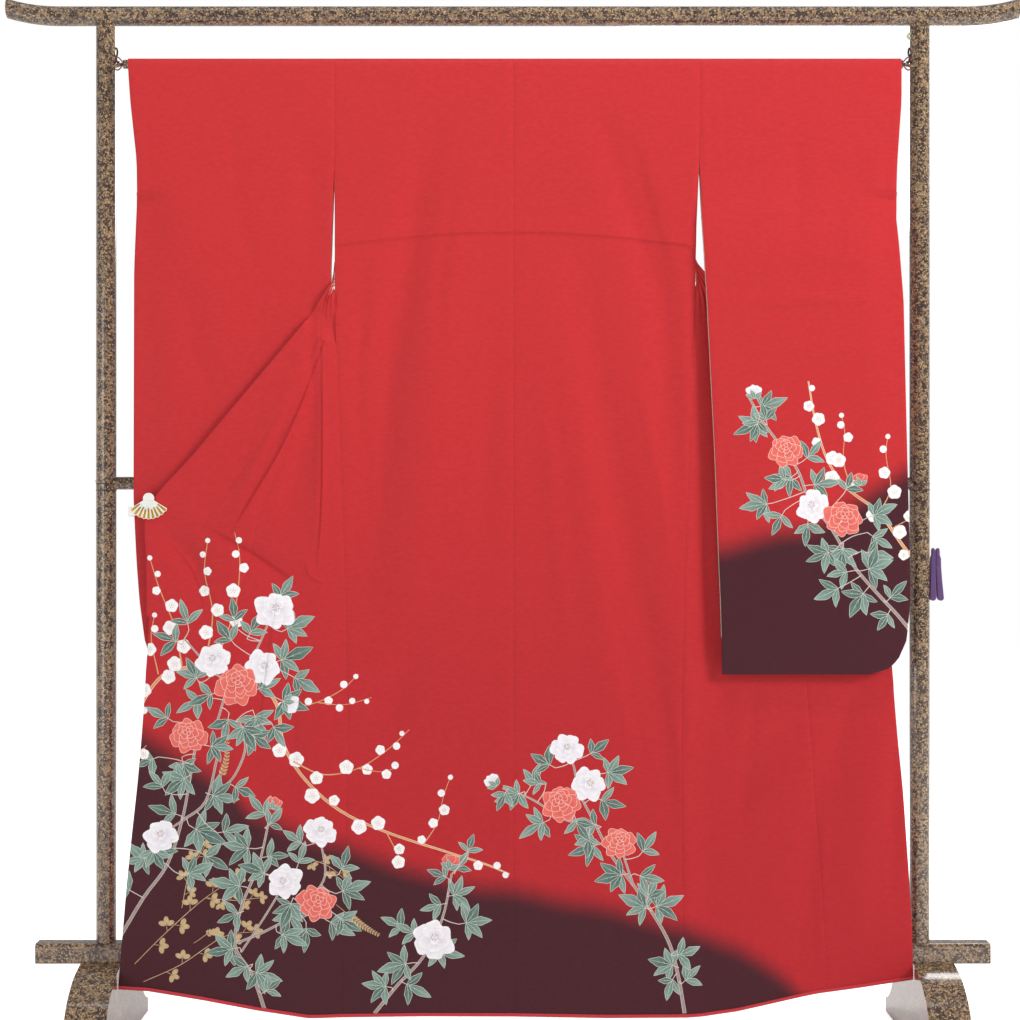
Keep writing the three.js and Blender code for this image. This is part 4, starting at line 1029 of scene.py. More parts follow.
# Steps of the sprays in the order of drawing, so that the flowers lie over the twigs. A twig
# or stem has its width at both ends and its line, and a twig's blossoms follow.
BODY_SPRAYS = """
    twig 4.4 3.4: -655 520, -628 590, -590 640, -540 652, -500 640: 0.1 3 8, 0.22 -8 6, 0.33 8 12,
      0.52 -7 12, 0.6 9 13, 0.78 -8 9;
    twig 2.0 1.2: -600 640, -612 700, -606 742: 0.35 5 11, 0.7 -5 6, 0.98 0 4;
    twig 2.8 1.2: -560 655, -572 720, -598 785, -616 842: 0.16 -8 12, 0.34 8 12, 0.5 -8 11,
      0.66 6 7, 0.8 -5 5, 0.97 0 4;
    twig 2.8 1.2: -520 660, -508 742, -522 812, -516 868: 0.2 8 12, 0.36 -9 11, 0.52 7 9,
      0.68 -5 7, 0.84 5 5, 0.99 0 4;
    twig 2.6 1.1: -498 672, -470 752, -462 830, -470 880: 0.25 -8 11, 0.45 8 12, 0.62 -7 8,
      0.75 6 6, 0.9 -4 5;
    twig 5.0 1.4: -440 640, -400 590, -388 520, -352 462, -292 408, -215 372, -120 340, -50 318,
      -6 300: 0.14 9 9, 0.26 -10 12, 0.31 8 13, 0.42 -10 13, 0.47 8 9, 0.56 -9 13, 0.6 9 12,
      0.7 7 7, 0.86 -6 8, 0.93 5 6, 0.985 -4 5;
    twig 2.4 1.0: -395 585, -340 590, -292 612, -262 640: 0.3 5 6, 0.5 -5 7, 0.75 5 6, 0.95 0 4;
    twig 1.6 0.9: -330 592, -285 588, -240 600: 0.4 -5 6, 0.65 4 5, 0.9 -4 4;
    twig 2.6 1.0: -372 492, -320 470, -262 480, -212 512, -176 545: 0.2 -8 11, 0.42 8 12,
      0.55 -8 9, 0.7 7 8, 0.82 -5 6, 0.93 4 4;
    twig 1.6 0.9: -262 480, -222 474, -196 482: 0.6 -5 8, 0.95 4 6;
    twig 1.8 0.9: -152 350, -128 388, -118 432, -104 470: 0.3 6 8, 0.5 -6 9, 0.7 5 6, 0.95 0 4;
    twig 2.0 1.2: -215 372, -198 340, -188 322: 0.5 6 9, 0.95 -6 11;
    clover 8 17: -640 150, -585 205, -520 262, -462 300;
    clover 7 16: -625 120, -560 150, -490 196, -436 205;
    clover 6 15: -560 245, -548 300, -520 352;
    clover 5 14: -520 262, -470 258, -428 262;
    clover 5 13: -362 330, -318 318, -282 290;
    plume 11: -300 250, -262 218, -226 196;
    plume 10: -505 440, -486 490, -482 540;
    plume 9: -540 185, -505 205, -480 180;
    stem 4.6 2.6: -668 190, -625 262, -585 318, -560 392, -545 470, -530 560;
    stem 3.2 2.2: -560 392, -520 425, -500 500, -486 560;
    stem 5.0 2.2: -418 66, -440 130, -470 182, -458 250, -430 318, -412 395;
    stem 3.0 2.2: -466 186, -420 205, -372 232, -338 262;
    stem 4.6 2.2: -235 64, -196 112, -152 160, -120 224, -104 300;
    stem 3.0 2.0: -470 560, -452 520, -470 470, -500 440;
    stem 2.4 1.8: -340 262, -318 300, -326 360;
    stem 2.4 1.8: -500 560, -480 620, -440 670, -408 740;
    stem 2.0 1.6: -480 620, -520 660, -556 700;
    stem 2.2 1.8: -460 170, -420 230, -390 280;
    stem 2.4 1.8: -560 392, -590 372;
    leaves: -560 690 150 46 3, -548 715 100 44 3, -470 720 95 44 3, -392 712 25 48 5,
      -400 762 60 40 3, -404 660 20 54 5, -380 640 -30 46 3, -400 600 -25 50 5, -440 580 -70 48 5,
      -480 575 -100 46 3, -520 600 -160 46 3, -500 610 200 42 3, -470 690 130 40 3,
      -448 545 -45 44 3, -410 560 -60 42 3, -560 500 -80 44 5, -600 500 200 38 3,
      -520 520 -10 44 5, -545 470 -150 50 5, -520 440 -20 54 5, -560 400 160 46 3,
      -548 385 -30 56 5, -530 340 -35 46 3, -600 330 60 42 3, -612 330 185 44 5, -560 300 20 46 5,
      -640 270 150 40 3, -478 455 -30 40 3, -450 700 60 42 3, -530 625 120 44 5, -440 612 20 44 3,
      -575 560 150 42 3, -462 560 -60 46 5, -588 440 120 42 3, -612 352 -70 42 5,
      -500 372 10 42 3;
    leaves: -412 395 130 42 3, -420 380 40 38 3, -436 345 175 50 5, -425 330 10 40 3,
      -450 280 170 52 5, -455 240 200 44 3, -385 245 -60 46 5, -300 268 20 50 5, -296 300 60 44 3,
      -318 225 -30 44 3, -350 220 -90 42 3, -462 178 190 50 5, -440 150 200 40 3,
      -446 140 -20 52 5, -400 205 -30 46 5, -425 100 30 36 3, -205 108 170 46 5,
      -190 118 -25 44 3, -170 150 190 50 5, -140 175 -20 48 5, -112 250 190 42 3,
      -112 262 10 46 5, -100 300 60 40 3, -106 290 150 36 3, -92 215 10 52 5, -180 205 150 42 3,
      -80 330 70 36 3, -410 300 160 46 5, -366 312 70 40 3, -350 350 150 40 3, -372 262 -110 44 5,
      -156 196 160 40 3, -300 232 -40 42 3;
    peony -506 664 32 white 120;
    peony -402 748 36 white 80;
    peony -424 652 33 white 40;
    peony -466 622 38 coral 100;
    bud -378 590 15 white -20;
    peony -548 536 33 coral 110;
    peony -596 366 31 white 100;
    bud -404 420 12 coral 70;
    peony -326 374 28 white 70;
    peony -386 288 32 white 140;
    peony -332 252 35 coral 60;
    peony -134 188 37 white 80;
    bud -106 318 15 coral 80;
    twig 2.2 1.2: -652 452, -636 500, -620 520: 0.3 7 11, 0.7 -7 9;
    stem 5.0 2.4: 292 62, 280 130, 262 190, 218 262, 168 330, 138 388, 110 440;
    stem 2.6 1.6: 140 380, 90 392, 30 428, -18 446;
    stem 2.4 1.6: 110 440, 104 480, 94 505;
    stem 2.6 2.0: 205 280, 192 318, 184 346;
    leaves: 286 112 40 40 3, 282 140 160 46 5, 270 160 10 44 3, 276 128 -120 38 3,
      236 236 150 50 5, 232 240 20 52 5, 226 250 70 40 3, 196 300 190 48 5, 206 300 -20 44 3,
      214 330 50 42 3, 150 352 200 54 5, 150 380 160 42 3, 130 372 -100 40 3, 62 392 205 48 5,
      104 400 -70 44 3, 20 440 200 44 5, 28 446 60 36 3, -8 446 240 36 3, 150 470 10 46 5,
      140 430 -25 44 3, 72 480 150 44 3, 124 500 30 38 3, 56 452 170 34 3;
    peony 92 512 28 white 90;
    peony 128 452 31 white 40;
    peony 82 418 35 coral 110;
    peony 180 352 30 coral 80;
    bud -34 456 13 white 130;
"""
SLEEVE_SPRAY = """
    twig 4.8 1.4: 690 818, 655 866, 618 915, 566 955, 532 1004, 512 1068, 500 1136: 0.1 8 9,
      0.2 -9 12, 0.34 9 12, 0.5 -9 9, 0.58 9 13, 0.66 -9 12, 0.75 7 8, 0.84 -6 11, 0.9 6 9,
      0.97 -4 5;
    twig 2.2 1.0: 575 950, 560 1000, 562 1050, 556 1080: 0.35 8 12, 0.6 -6 8, 0.8 5 6, 0.98 0 4;
    twig 2.2 1.0: 620 912, 640 955, 632 1010, 636 1048: 0.3 -8 12, 0.5 8 10, 0.75 5 6, 0.95 0 4;
    twig 2.0 1.2: 640 885, 668 900, 690 905: 0.6 6 9;
    stem 2.4 4.4: 400 1108, 420 1072, 450 1030, 482 985, 500 940, 540 885, 575 826, 612 782,
      650 742, 672 716;
    leaves: 425 1070 205 48 5, 410 1092 10 44 5, 430 1062 100 34 3, 418 1076 250 38 3,
      490 1000 40 40 3, 480 980 215 46 5, 500 960 5 44 5, 470 968 170 40 3, 440 930 190 46 5,
      460 918 240 40 3, 500 905 265 42 3, 600 905 20 46 5, 600 880 -35 46 3, 560 862 -100 44 5,
      545 850 200 48 5, 590 848 -10 44 3, 575 815 190 40 3, 590 815 15 52 5, 560 790 205 44 3,
      600 785 230 46 5, 632 762 45 40 3, 640 750 -120 38 3, 560 945 60 36 3;
    bud 408 1116 13 white 95;
    peony 462 1018 31 coral 100;
    bud 588 968 12 coral 90;
    peony 508 924 31 white 130;
    peony 560 902 35 coral 70;
"""
_prints = {}


def printed(name):
    """The body's sprays or a sleeve's. The left sleeve's hangs lower and is turned round."""
    if name not in _prints:
        drawing = Print(11 if name == "body" else 23)
        drawing.draw(BODY_SPRAYS if name == "body" else SLEEVE_SPRAY)
        if name == "left":
            flip, sink = np.array((-1.0, 1.0)), np.array((84.0, -62.0))
            for shape in drawing.shapes:
                shape["points"] = (shape["points"] * flip + sink)[::-1]
                shape["centre"] = shape["centre"] * flip + sink
        _prints[name] = drawing.shapes
    return _prints[name]


# ---- materials ----------------------------------------------------------------------------


def wire(tree, *links):
    """Links given as a node and its output, then a node and its input."""
    for start, output, end, given in links:
        tree.links.new(start.outputs[output], end.inputs[given])


def add_node(tree, kind, **settings):
    """A shader node; a setting sets the input of its name, or else the node's own value."""
    node = tree.nodes.new("ShaderNode" + kind)
    for key, value in settings.items():
        label = key.replace("_", " ")
        if label in node.inputs:
            node.inputs[label].default_value = value
        else:
            setattr(node, key, value)
    return node


def add_ramp(tree, low, high):
    ramp = add_node(tree, "ValToRGB")
    for element, colour in zip(ramp.color_ramp.elements, (low, high)):
        element.color = (*colour, 1)
    return ramp


def node_group(name, inputs, outputs):
    """An empty shader node group with named sockets."""
    group = bpy.data.node_groups.new(name, "ShaderNodeTree")
    for label, kind, default in inputs:
        socket = group.interface.new_socket(
            name=label, in_out="INPUT", socket_type="NodeSocket" + kind
        )
        socket.default_value = default
    for label, kind in outputs:
        group.interface.new_socket(name=label, in_out="OUTPUT", socket_type="NodeSocket" + kind)
    return group, group.nodes.new("NodeGroupInput"), group.nodes.new("NodeGroupOutput")


def crepe_group():
    """Fine crepe grain with faint bars across the cloth: a height and a tone."""
    if "crepe_grain" in bpy.data.node_groups:
        return bpy.data.node_groups["crepe_grain"]
    group, given, result = node_group(
        "crepe_grain", [("Grain", "Float", 520.0), ("Bars", "Float", 60.0)],
        [("Height", "Float"), ("Tone", "Float")],
    )
    place = add_node(group, "TexCoord")
    stretch = add_node(group, "Mapping", Scale=(1.0, 1.0, 2.2))
    grain = add_node(group, "TexNoise", Detail=2.0, Roughness=0.6)
    bars = add_node(group, "TexNoise", Detail=3.0, Roughness=0.55)
    blend = add_node(group, "Math", operation="MULTIPLY_ADD")
    blend.inputs[1].default_value = 0.35
    wire(
        group,
        (place, "Object", stretch, "Vector"), (stretch, "Vector", grain, "Vector"),
        (stretch, "Vector", bars, "Vector"), (given, "Grain", grain, "Scale"),
        (given, "Bars", bars, "Scale"), (bars, "Fac", blend, 0), (grain, "Fac", blend, 2),
        (blend, "Value", result, "Height"), (bars, "Fac", result, "Tone"),
    )
    return group


def speckle_group():
    """Gold and tan flakes in dark brown lacquer: a colour and a roughness."""
    group, given, result = node_group(
        "speckled_lacquer",
        [
            ("Base", "Color", (0.05, 0.03, 0.02, 1)), ("Tan", "Color", (0.36, 0.24, 0.12, 1)),
            ("Gold", "Color", (0.62, 0.46, 0.24, 1)), ("Flakes", "Float", 320.0),
        ],
        [("Color", "Color"), ("Roughness", "Float")],
    )
    place = add_node(group, "TexCoord")
    cloud = add_node(group, "TexNoise", Scale=300.0, Detail=4.0, Roughness=0.65)
    patch = add_node(group, "TexNoise", Scale=75.0, Detail=2.0, Roughness=0.5)
    both = add_node(group, "Math", operation="MULTIPLY_ADD")
    half = add_node(group, "Math", operation="MULTIPLY")
    both.inputs[1].default_value = half.inputs[1].default_value = 0.5
    flake = add_node(group, "TexVoronoi", Randomness=1.0)
    dark = add_node(group, "TexVoronoi", Scale=260.0, Randomness=1.0)
    flake_tone, dark_tone = (add_node(group, "SeparateColor") for _ in range(2))
    tan_mask = add_node(group, "MapRange", From_Min=0.45, From_Max=0.56)
    gold_mask = add_node(group, "MapRange", From_Min=0.70, From_Max=0.86)
    dark_mask = add_node(group, "MapRange", From_Min=0.74, From_Max=0.84)
    first, second, third = (add_node(group, "Mix", data_type="RGBA") for _ in range(3))
    rough = add_node(group, "MapRange", To_Min=0.16, To_Max=0.34)
    wire(
        group,
        (place, "Object", patch, "Vector"), (patch, "Fac", both, 0), (cloud, "Fac", half, 0),
        (half, "Value", both, 2), (place, "Object", cloud, "Vector"),
        (place, "Object", flake, "Vector"), (place, "Object", dark, "Vector"),
        (given, "Flakes", flake, "Scale"), (both, "Value", tan_mask, "Value"),
        (flake, "Color", flake_tone, "Color"), (flake_tone, "Red", gold_mask, "Value"),
        (dark, "Color", dark_tone, "Color"), (dark_tone, "Red", dark_mask, "Value"),
        (tan_mask, "Result", first, "Factor"), (given, "Base", first, "A"),
        (given, "Tan", first, "B"), (gold_mask, "Result", second, "Factor"),
        (first, "Result", second, "A"), (given, "Gold", second, "B"),
        (dark_mask, "Result", third, "Factor"), (second, "Result", third, "A"),
        (given, "Base", third, "B"), (third, "Result", result, "Color"),
        (cloud, "Fac", rough, "Value"), (rough, "Result", result, "Roughness"),
    )
    return group


def new_material(name, **shader_values):
    material = bpy.data.materials.new(name)
    material.use_nodes = True
    shader = material.node_tree.nodes["Principled BSDF"]
    for key, value in shader_values.items():
        shader.inputs[key.replace("_", " ")].default_value = value
    return material, material.node_tree, shader


def made_once(make):
    """Gives back the material of a name where it is already there."""

    def material(name, *values):
        return bpy.data.materials.get(name) or make(name, *values)

    return material


@made_once
def printed_silk(name):
    """Hand-dyed silk crepe whose colours are held in the cloth's own print."""
    material, tree, shader = new_material(
        name, Roughness=0.6, Sheen_Weight=0.06, Sheen_Roughness=0.4, Specular_IOR_Level=0.16
    )
    dye = add_node(tree, "VertexColor", layer_name="print")
    crepe = add_node(tree, "Group", node_tree=crepe_group(), Grain=560.0, Bars=95.0)
    tone = add_node(tree, "MapRange", From_Min=0.3, From_Max=0.7, To_Min=0.94, To_Max=1.05)
    shade = add_node(tree, "VectorMath", operation="SCALE")
    bump = add_node(tree, "Bump", Strength=0.35, Distance=0.0006)
    wire(
        tree,
        (crepe, "Tone", tone, "Value"), (dye, "Color", shade, 0),
        (tone, "Result", shade, "Scale"), (shade, "Vector", shader, "Base Color"),
        (crepe, "Height", bump, "Height"), (bump, "Normal", shader, "Normal"),
    )
    return material


@made_once
def plain_silk(name):
    """The lining's red silk."""
    material, tree, shader = new_material(
        name, Roughness=0.5, Sheen_Weight=0.2, Sheen_Roughness=0.4
    )
    crepe = add_node(tree, "Group", node_tree=crepe_group(), Grain=900.0)
    red = np.array(bpy.context.scene.furisode_dyes.lining_red)
    ramp = add_ramp(tree, red * 0.85, red * 1.1)
    bump = add_node(tree, "Bump", Strength=0.25, Distance=0.0004)
    wire(
        tree,
        (crepe, "Tone", ramp, "Fac"), (ramp, "Color", shader, "Base Color"),
        (crepe, "Height", bump, "Height"), (bump, "Normal", shader, "Normal"),
    )
    return material


@made_once
def lacquer(name):
    stand = bpy.context.scene.furisode_stand
    material, tree, shader = new_material(
        name, Coat_Weight=1.0, Coat_Roughness=0.12, Coat_IOR=1.5
    )
    speckle = add_node(
        tree, "Group", node_tree=speckle_group(), Base=(*stand.base, 1), Tan=(*stand.tan, 1),
        Gold=(*stand.gold, 1), Flakes=1 / stand.flake,
    )
    for output, given in (("Color", "Base Color"), ("Roughness", "Roughness")):
        wire(tree, (speckle, output, shader, given))
    return material


@made_once
def plastic(name, tone, roughness, scatter=0.0, metallic=0.0):
    """Moulded plastic, or plated metal, with faint flow marks and a finely uneven skin."""
    material, tree, shader = new_material(name, Subsurface_Weight=scatter, Metallic=metallic)
    place = add_node(tree, "TexCoord")
    flow = add_node(tree, "TexNoise", Scale=90.0, Detail=3.0)
    colour = np.array(tone)
    ramp = add_ramp(tree, colour * 0.86, np.minimum(colour * 1.1, 1))
    rough = add_node(tree, "MapRange", To_Min=roughness * 0.8, To_Max=roughness * 1.3)
    bump = add_node(tree, "Bump", Strength=0.12, Distance=0.0003)
    wire(
        tree,
        (place, "Object", flow, "Vector"), (flow, "Fac", ramp, "Fac"),
        (ramp, "Color", shader, "Base Color"), (flow, "Fac", rough, "Value"),
        (rough, "Result", shader, "Roughness"), (flow, "Fac", bump, "Height"),
        (bump, "Normal", shader, "Normal"),
    )
    return material


def metal(name, tone, roughness):
    return plastic(name, tone, roughness, 0.0, 0.85)


# ---- colours of the cloth -------------------------------------------------------------------


def dyed(edge_rows):
    """Ground colour at a place: red above the edge of the dark dye, dark below it."""
    dyes = bpy.context.scene.furisode_dyes
    red, dark, deep = (np.array(c) for c in (dyes.red, dyes.dark, dyes.red_deep))
    fade = bpy.context.scene.furisode_sizes.fade / MM

    def ground(x, z):
        edge = read(edge_rows, "x", x, "z")
        wander = 4 * np.sin(x / 61.0) + 2 * np.sin(x / 23.0 + 1.3)
        depth = ease(fade, -fade, z - edge - wander)[..., None]
        # darker towards the bottom: the ground goes up to halfway to the deep red between 1300 and
        # 300 mm
        low = ease(1300, 300, z)[..., None] * 0.5
        return mix(mix(red, deep, low), dark, depth)

    return ground


def lining_tone(x, z):
    """Cream above, the hem's red lining below."""
    dyes = bpy.context.scene.furisode_dyes
    red = ease(702, 698, z)[..., None]
    return mix(np.array(dyes.cream), np.array(dyes.lining_red), red)


# ---- settings -------------------------------------------------------------------------------


def colour_property(name, description, hex_colour):
    return bpy.props.FloatVectorProperty(
        name=name, description=description, subtype="COLOR", size=3, min=0, max=1,
        default=linear(hex_colour),
    )


class FurisodeSizes(bpy.types.PropertyGroup):
    spacing: bpy.props.FloatProperty(
        name="Cloth spacing", description="Distance between the points of the cloth",
        default=0.008, min=0.004, unit="LENGTH",
    )
    wall: bpy.props.FloatProperty(
        name="Cloth thickness", description="Crepe, interlining and lining together",
        default=WALL * MM, unit="LENGTH",
    )
    fade: bpy.props.FloatProperty(
        name="Fade", description="Half the width over which the dark dye fades into the red",
        default=0.030, unit="LENGTH",
    )


class FurisodeDyes(bpy.types.PropertyGroup):
    red: colour_property("Red", "The crepe's ground colour", "C63235")
    # the deep red is mixed into the ground more and more towards the bottom, up to half
    red_deep: colour_property("Deep red", "The ground colour where the dye is deepest", "A9252D")
    dark: colour_property("Aubergine", "The dark dye of the hem and sleeve ends", "4A242B")
    cream: colour_property("Cream", "The upper lining", "EFE3D2")
    lining_red: colour_property("Lining red", "The lining of the hem", "C22E38")


class FurisodeStand(bpy.types.PropertyGroup):
    base: colour_property("Base", "The dark lacquer", "40302A")
    tan: colour_property("Tan", "The cloudy tan flecks", "8D7357")
    gold: colour_property("Gold", "The bright flakes", "BD9E78")
    flake: bpy.props.FloatProperty(
        name="Flake", description="Size of a flake", default=0.0019, unit="LENGTH",
    )
    clip: colour_property("Ivory", "The fan clip's plastic", "F8F5EC")
    gilt: colour_property("Gilt", "The clip's ribs", "D8A83C")
    peg: colour_property("Violet", "The peg's plastic", "60487A")
    cord: colour_property("Cord", "The ties at the rod's ends", "7A3038")


def cloth_spacing():
    return bpy.context.scene.furisode_sizes.spacing / MM


def sew(node, outer, lining, flat, held="hung", rests_on="hanging_rod", area=None, wall=None):
    """Makes a cloth piece of its outer and lining surfaces."""
    wall = wall or bpy.context.scene.furisode_sizes.wall / MM
    silk = printed_silk("printed_silk")
    piece = closed_cloth(f"{node}_silk", outer, lining, wall, lining_tone, silk)
    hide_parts(node)
    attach(piece, "root")


def place_piece(piece, slot, *nodes):
    if nodes:
        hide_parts(*nodes)
    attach(piece, "root")


# ---- operators ------------------------------------------------------------------------------

SIDES = (("left", -1), ("right", 1))


class FURISODE_OT_back(bpy.types.Operator):
    """Builds the two back panels over the rod"""

    bl_idname = "furisode.back"
    bl_label = "Back panels"

    def execute(self, context):
        for name, side in SIDES:
            top = APEX - SEAM / 2
            levels = np.array([*np.linspace(60, ROD["z"], 60), top])
            edge = read(SIDE_EDGE, "z", levels, name) - side * SEAM / 2
            levels[0] = read(HEM, "x", edge[0], "z")
            centre_x = side * SEAM / 2
            xs = np.linspace(centre_x, edge[0], 24)
            hem = columns_of(xs, read(HEM, "x", xs, "z"))
            sides = [
                (hem, True),
                (columns_of(edge, levels), True),
                (np.array([(edge[-1], top), (centre_x, top)]), False),
                (np.array([(centre_x, top), hem[0]]), True),
            ]
            surfaces = spread_surfaces(sides, cloth_spacing(), printed("body"), dyed(BODY_DARK))
            sew(f"back_{name}", *surfaces, (0.31, 1.66))
        return {"FINISHED"}


def far_part(name, side, columns):
    """The far side of a front, from the top of the rod down to the row below it."""
    x0 = float(read(SIDE_EDGE, "z", ROD["z"], name))
    shift = side * SEAM / 2
    xs = np.linspace(x0 - shift, side * NECK_HALF + shift, columns)
    heights = np.linspace(APEX - SEAM / 2, ROD["z"], 9)
    return np.array([over_rod(xs, np.full(columns, h), 1) for h in heights])


class FURISODE_OT_fronts(bpy.types.Operator):
    """Builds the front panels and the overlap panels, gathered through the side slits"""

    bl_idname = "furisode.fronts"
    bl_label = "Front panels"

    def execute(self, context):
        ground = dyed(BODY_DARK)
        for name, side in SIDES:
            rows = front_rows(name)
            last = len(rows["x0"]) - 1.0
            for strip, first, columns, cut in (
                ("front", 0.0, 17, ((0.24, 1.62), "gathered", "hanging_rod", 0.315)),
                ("okumi", OKUMI_TOP, 11, ((0.15, 1.40), "gathered", f"front_{name}_silk", 0.165)),
            ):
                grid = gather_grid(rows, strip, first, columns, name)
                if strip == "front":
                    grid = np.concatenate([far_part(name, side, columns)[:-1], grid])
                if side < 0:
                    grid = grid[:, ::-1]
                upper = grid_surface(grid, ground)
                sides = spread_outline(rows, strip, last, columns)
                lower = spread_surfaces(sides, cloth_spacing(), printed("body"), ground)
                sew(f"{strip}_{name}", *(joined([upper, surface]) for surface in lower), *cut)
        return {"FINISHED"}


def far_section(seam, across, width, back, columns):
    """Points across the collar on the far side, from its seam."""
    reach = width * np.linspace(0, 1, columns)
    height = APEX - (seam[1] - across[1] * reach)
    points = hung(seam[0] + across[0] * reach, height, 1, np.full(columns, FAR))
    points[:, 1] += back
    return points


def far_collar(rows, side, columns):
    """Sections of one half of the collar from the turn up to the back of the neck."""
    sections = []
    for place in np.linspace(TURN - 0.5, 0, 13):
        row = row_at(rows, place)
        shape = {key: float(read(FAR_COLLAR, "z", row["z3"], key)) for key in FAR_COLLAR}
        length = math.hypot(row["x3"] - row["x0"], row["z3"] - row["z0"])
        across = (
            mix(-side * shape["across"], (row["x3"] - row["x0"]) / length, shape["squeezed"]),
            mix(-shape["down"], (row["z3"] - row["z0"]) / length, shape["squeezed"]),
        )
        width = COLLAR_WIDTH * shape["width"]
        seam = (row["x3"], APEX - row["z3"])
        sections.append(far_section(seam, across, width, row["y"] - FAR, columns))
    for angle in (1.2, 0.8, 0.4, 0.05):
        seam = (side * NECK_HALF, ROLL * angle)
        sections.append(far_section(seam, (-side * NECK_TILT, -1), COLLAR_WIDTH, 0, columns))
    for share in (0.75, 0.5, 0.25):
        tilt = -side * NECK_TILT * ease(0.5, 1, share)
        seam = (side * NECK_HALF * share, 0)
        sections.append(far_section(seam, (tilt, -1), COLLAR_WIDTH, 0, columns))
    return sections


class FURISODE_OT_collar(bpy.types.Operator):
    """Builds the collar round the neck and down both fronts"""

    bl_idname = "furisode.collar"
    bl_label = "Collar"

    def execute(self, context):
        ground = dyed(BODY_DARK)
        columns = 13
        halves, patches = {}, []
        for name, side in SIDES:
            rows = front_rows(name)
            gathered = list(gather_grid(rows, "collar", TURN, columns)[::-1])
            halves[name] = gathered + far_collar(rows, side, columns)
            sides = spread_outline(rows, "collar", COLLAR_END, columns)
            patches.append(spread_surfaces(sides, cloth_spacing(), printed("body"), ground))
        middle = far_section((0, 0), (0, -1), COLLAR_WIDTH, 0, columns)
        grid = np.array([*halves["left"], middle, *halves["right"][::-1]])
        band = grid_surface(grid, ground)
        surfaces = (joined([band, *layer]) for layer in zip(*patches))
        sew("collar", *surfaces, (0.11, 2.05), area=0.15)
        return {"FINISHED"}


def sleeve_depths(sleeve, x, z):
    """Depths of a sleeve's near and far layers, which meet at its closed edges."""
    edge = read(sleeve["rows"], "z", z, "outer")
    cuff = ease(SLEEVE["cuff_end"] - SLEEVE["corner"], SLEEVE["cuff_end"], z)
    from_edge = np.maximum(ease(0, SLEEVE["rise"], sleeve["side"] * (edge - x)), cuff)
    full = np.minimum(from_edge, ease(SLEEVE["bottom"], SLEEVE["bottom"] + SLEEVE["rise"], z))
    hang = ease(1500, sleeve["hangs_from"], z)
    relief = fold_relief(sleeve["folds"], x, z) * ease(1640, 1560, z)
    near = mix(HANG, sleeve["near"], hang) + relief
    far = mix(FAR, sleeve["far"], hang)
    middle = mix(ROD["y"], (sleeve["near"] + sleeve["far"]) / 2, hang)
    half = SLEEVE["edge"] / 2
    return mix(middle - half, near, full), mix(middle + half, far, full)


def sleeve_outline(sleeve):
    """The sides of a sleeve: hem, outer edge, cuff, top and the edge beside the body."""
    rows = sleeve["rows"]
    low = np.linspace(SLEEVE["bottom"], 760, 14)
    outer_levels = np.concatenate([low, np.linspace(780, SLEEVE["cuff_end"], 30)])
    cuff_levels = np.linspace(SLEEVE["cuff_end"], APEX, 12)
    inner_levels = np.linspace(APEX, SLEEVE["bottom"], 50)
    inner_x = read(rows, "z", inner_levels, "inner") + sleeve["side"] * SEAM / 2
    outer, cuff = (
        columns_of(read(rows, "z", levels, "outer"), levels)
        for levels in (outer_levels, cuff_levels)
    )
    inner = columns_of(inner_x, inner_levels)
    bottom, top = np.array([inner[-1], outer[0]]), np.array([cuff[-1], inner[0]])
    return {"bottom": bottom, "outer": outer, "cuff": cuff, "top": top, "inner": inner}


def sleeve_surface(sleeve, ground, shapes, closed_lines, patch):
    """Both layers of a sleeve's bag, joined at its closed edges and over the rod."""
    flat, triangles, tops, distance = patch
    x, z = flat.T
    near, far = sleeve_depths(sleeve, x, np.minimum(z, ROD["z"]))
    turn = turned_in(distance)
    tones = printed_tones(flat, triangles, tops, shapes, ground)
    near_points = hung(x, z, -1, near + turn)
    far_points = hung(x, z, 1, far - turn)
    layers = [
        Surface(near_points, triangles, tones),
        Surface(far_points, triangles[:, ::-1], tones[:, ::-1]),
    ]
    edges = boundary(triangles)
    middles = (flat[edges[:, 0]] + flat[edges[:, 1]]) / 2
    on_closed = np.zeros(len(edges), bool)
    for line in closed_lines:
        on_closed |= edge_distance(line[:-1], line[1:], middles) < 0.05
    edges = edges[on_closed]
    start, end = edges.T
    outward = np.zeros_like(flat)
    for i in (0, 1):
        np.add.at(outward, edges[:, i], -leftward(flat[end] - flat[start]))
    outward = unit(outward)
    outward = columns_of(outward[:, 0], 0 * x, outward[:, 1])
    tone = np.zeros((len(flat), 3))
    tone[triangles.ravel()] = tones.reshape(-1, 3)
    rings = []
    for angle in np.linspace(0, math.pi, 5):
        bulge = math.sin(angle) * SLEEVE["edge"] / 2
        rings.append(mix(near_points, far_points, (1 - math.cos(angle)) / 2) + outward * bulge)
    count = len(flat)
    low = columns_of(end, start, start + count)
    high = columns_of(end, start + count, end + count)
    faces = np.concatenate([low, high])
    for ring, after in zip(rings[:-1], rings[1:]):
        layers.append(Surface(np.concatenate([ring, after]), faces, np.tile(tone, (2, 1))[faces]))
    return joined(layers, 0.02)


class FURISODE_OT_sleeves(bpy.types.Operator):
    """Builds the two long sleeves as open bags over the rod"""

    bl_idname = "furisode.sleeves"
    bl_label = "Sleeves"

    def execute(self, context):
        for name, sleeve in SLEEVES.items():
            shapes = printed(name)
            ground = dyed(SLEEVE_DARK[name])
            lines = sleeve_outline(sleeve)
            sides = [(line, key in ("cuff", "inner")) for key, line in lines.items()]
            closed = [
                np.array(resample(lines[key], cloth_spacing())) for key in ("bottom", "outer")
            ]
            surfaces = (
                sleeve_surface(sleeve, ground, shapes, closed, patch)
                for patch in planar_patch(sides, cloth_spacing(), shapes)
            )
            sew(f"sleeve_{name}", *surfaces, (0.34, 2.1), wall=SLEEVE["wall"])
        return {"FINISHED"}


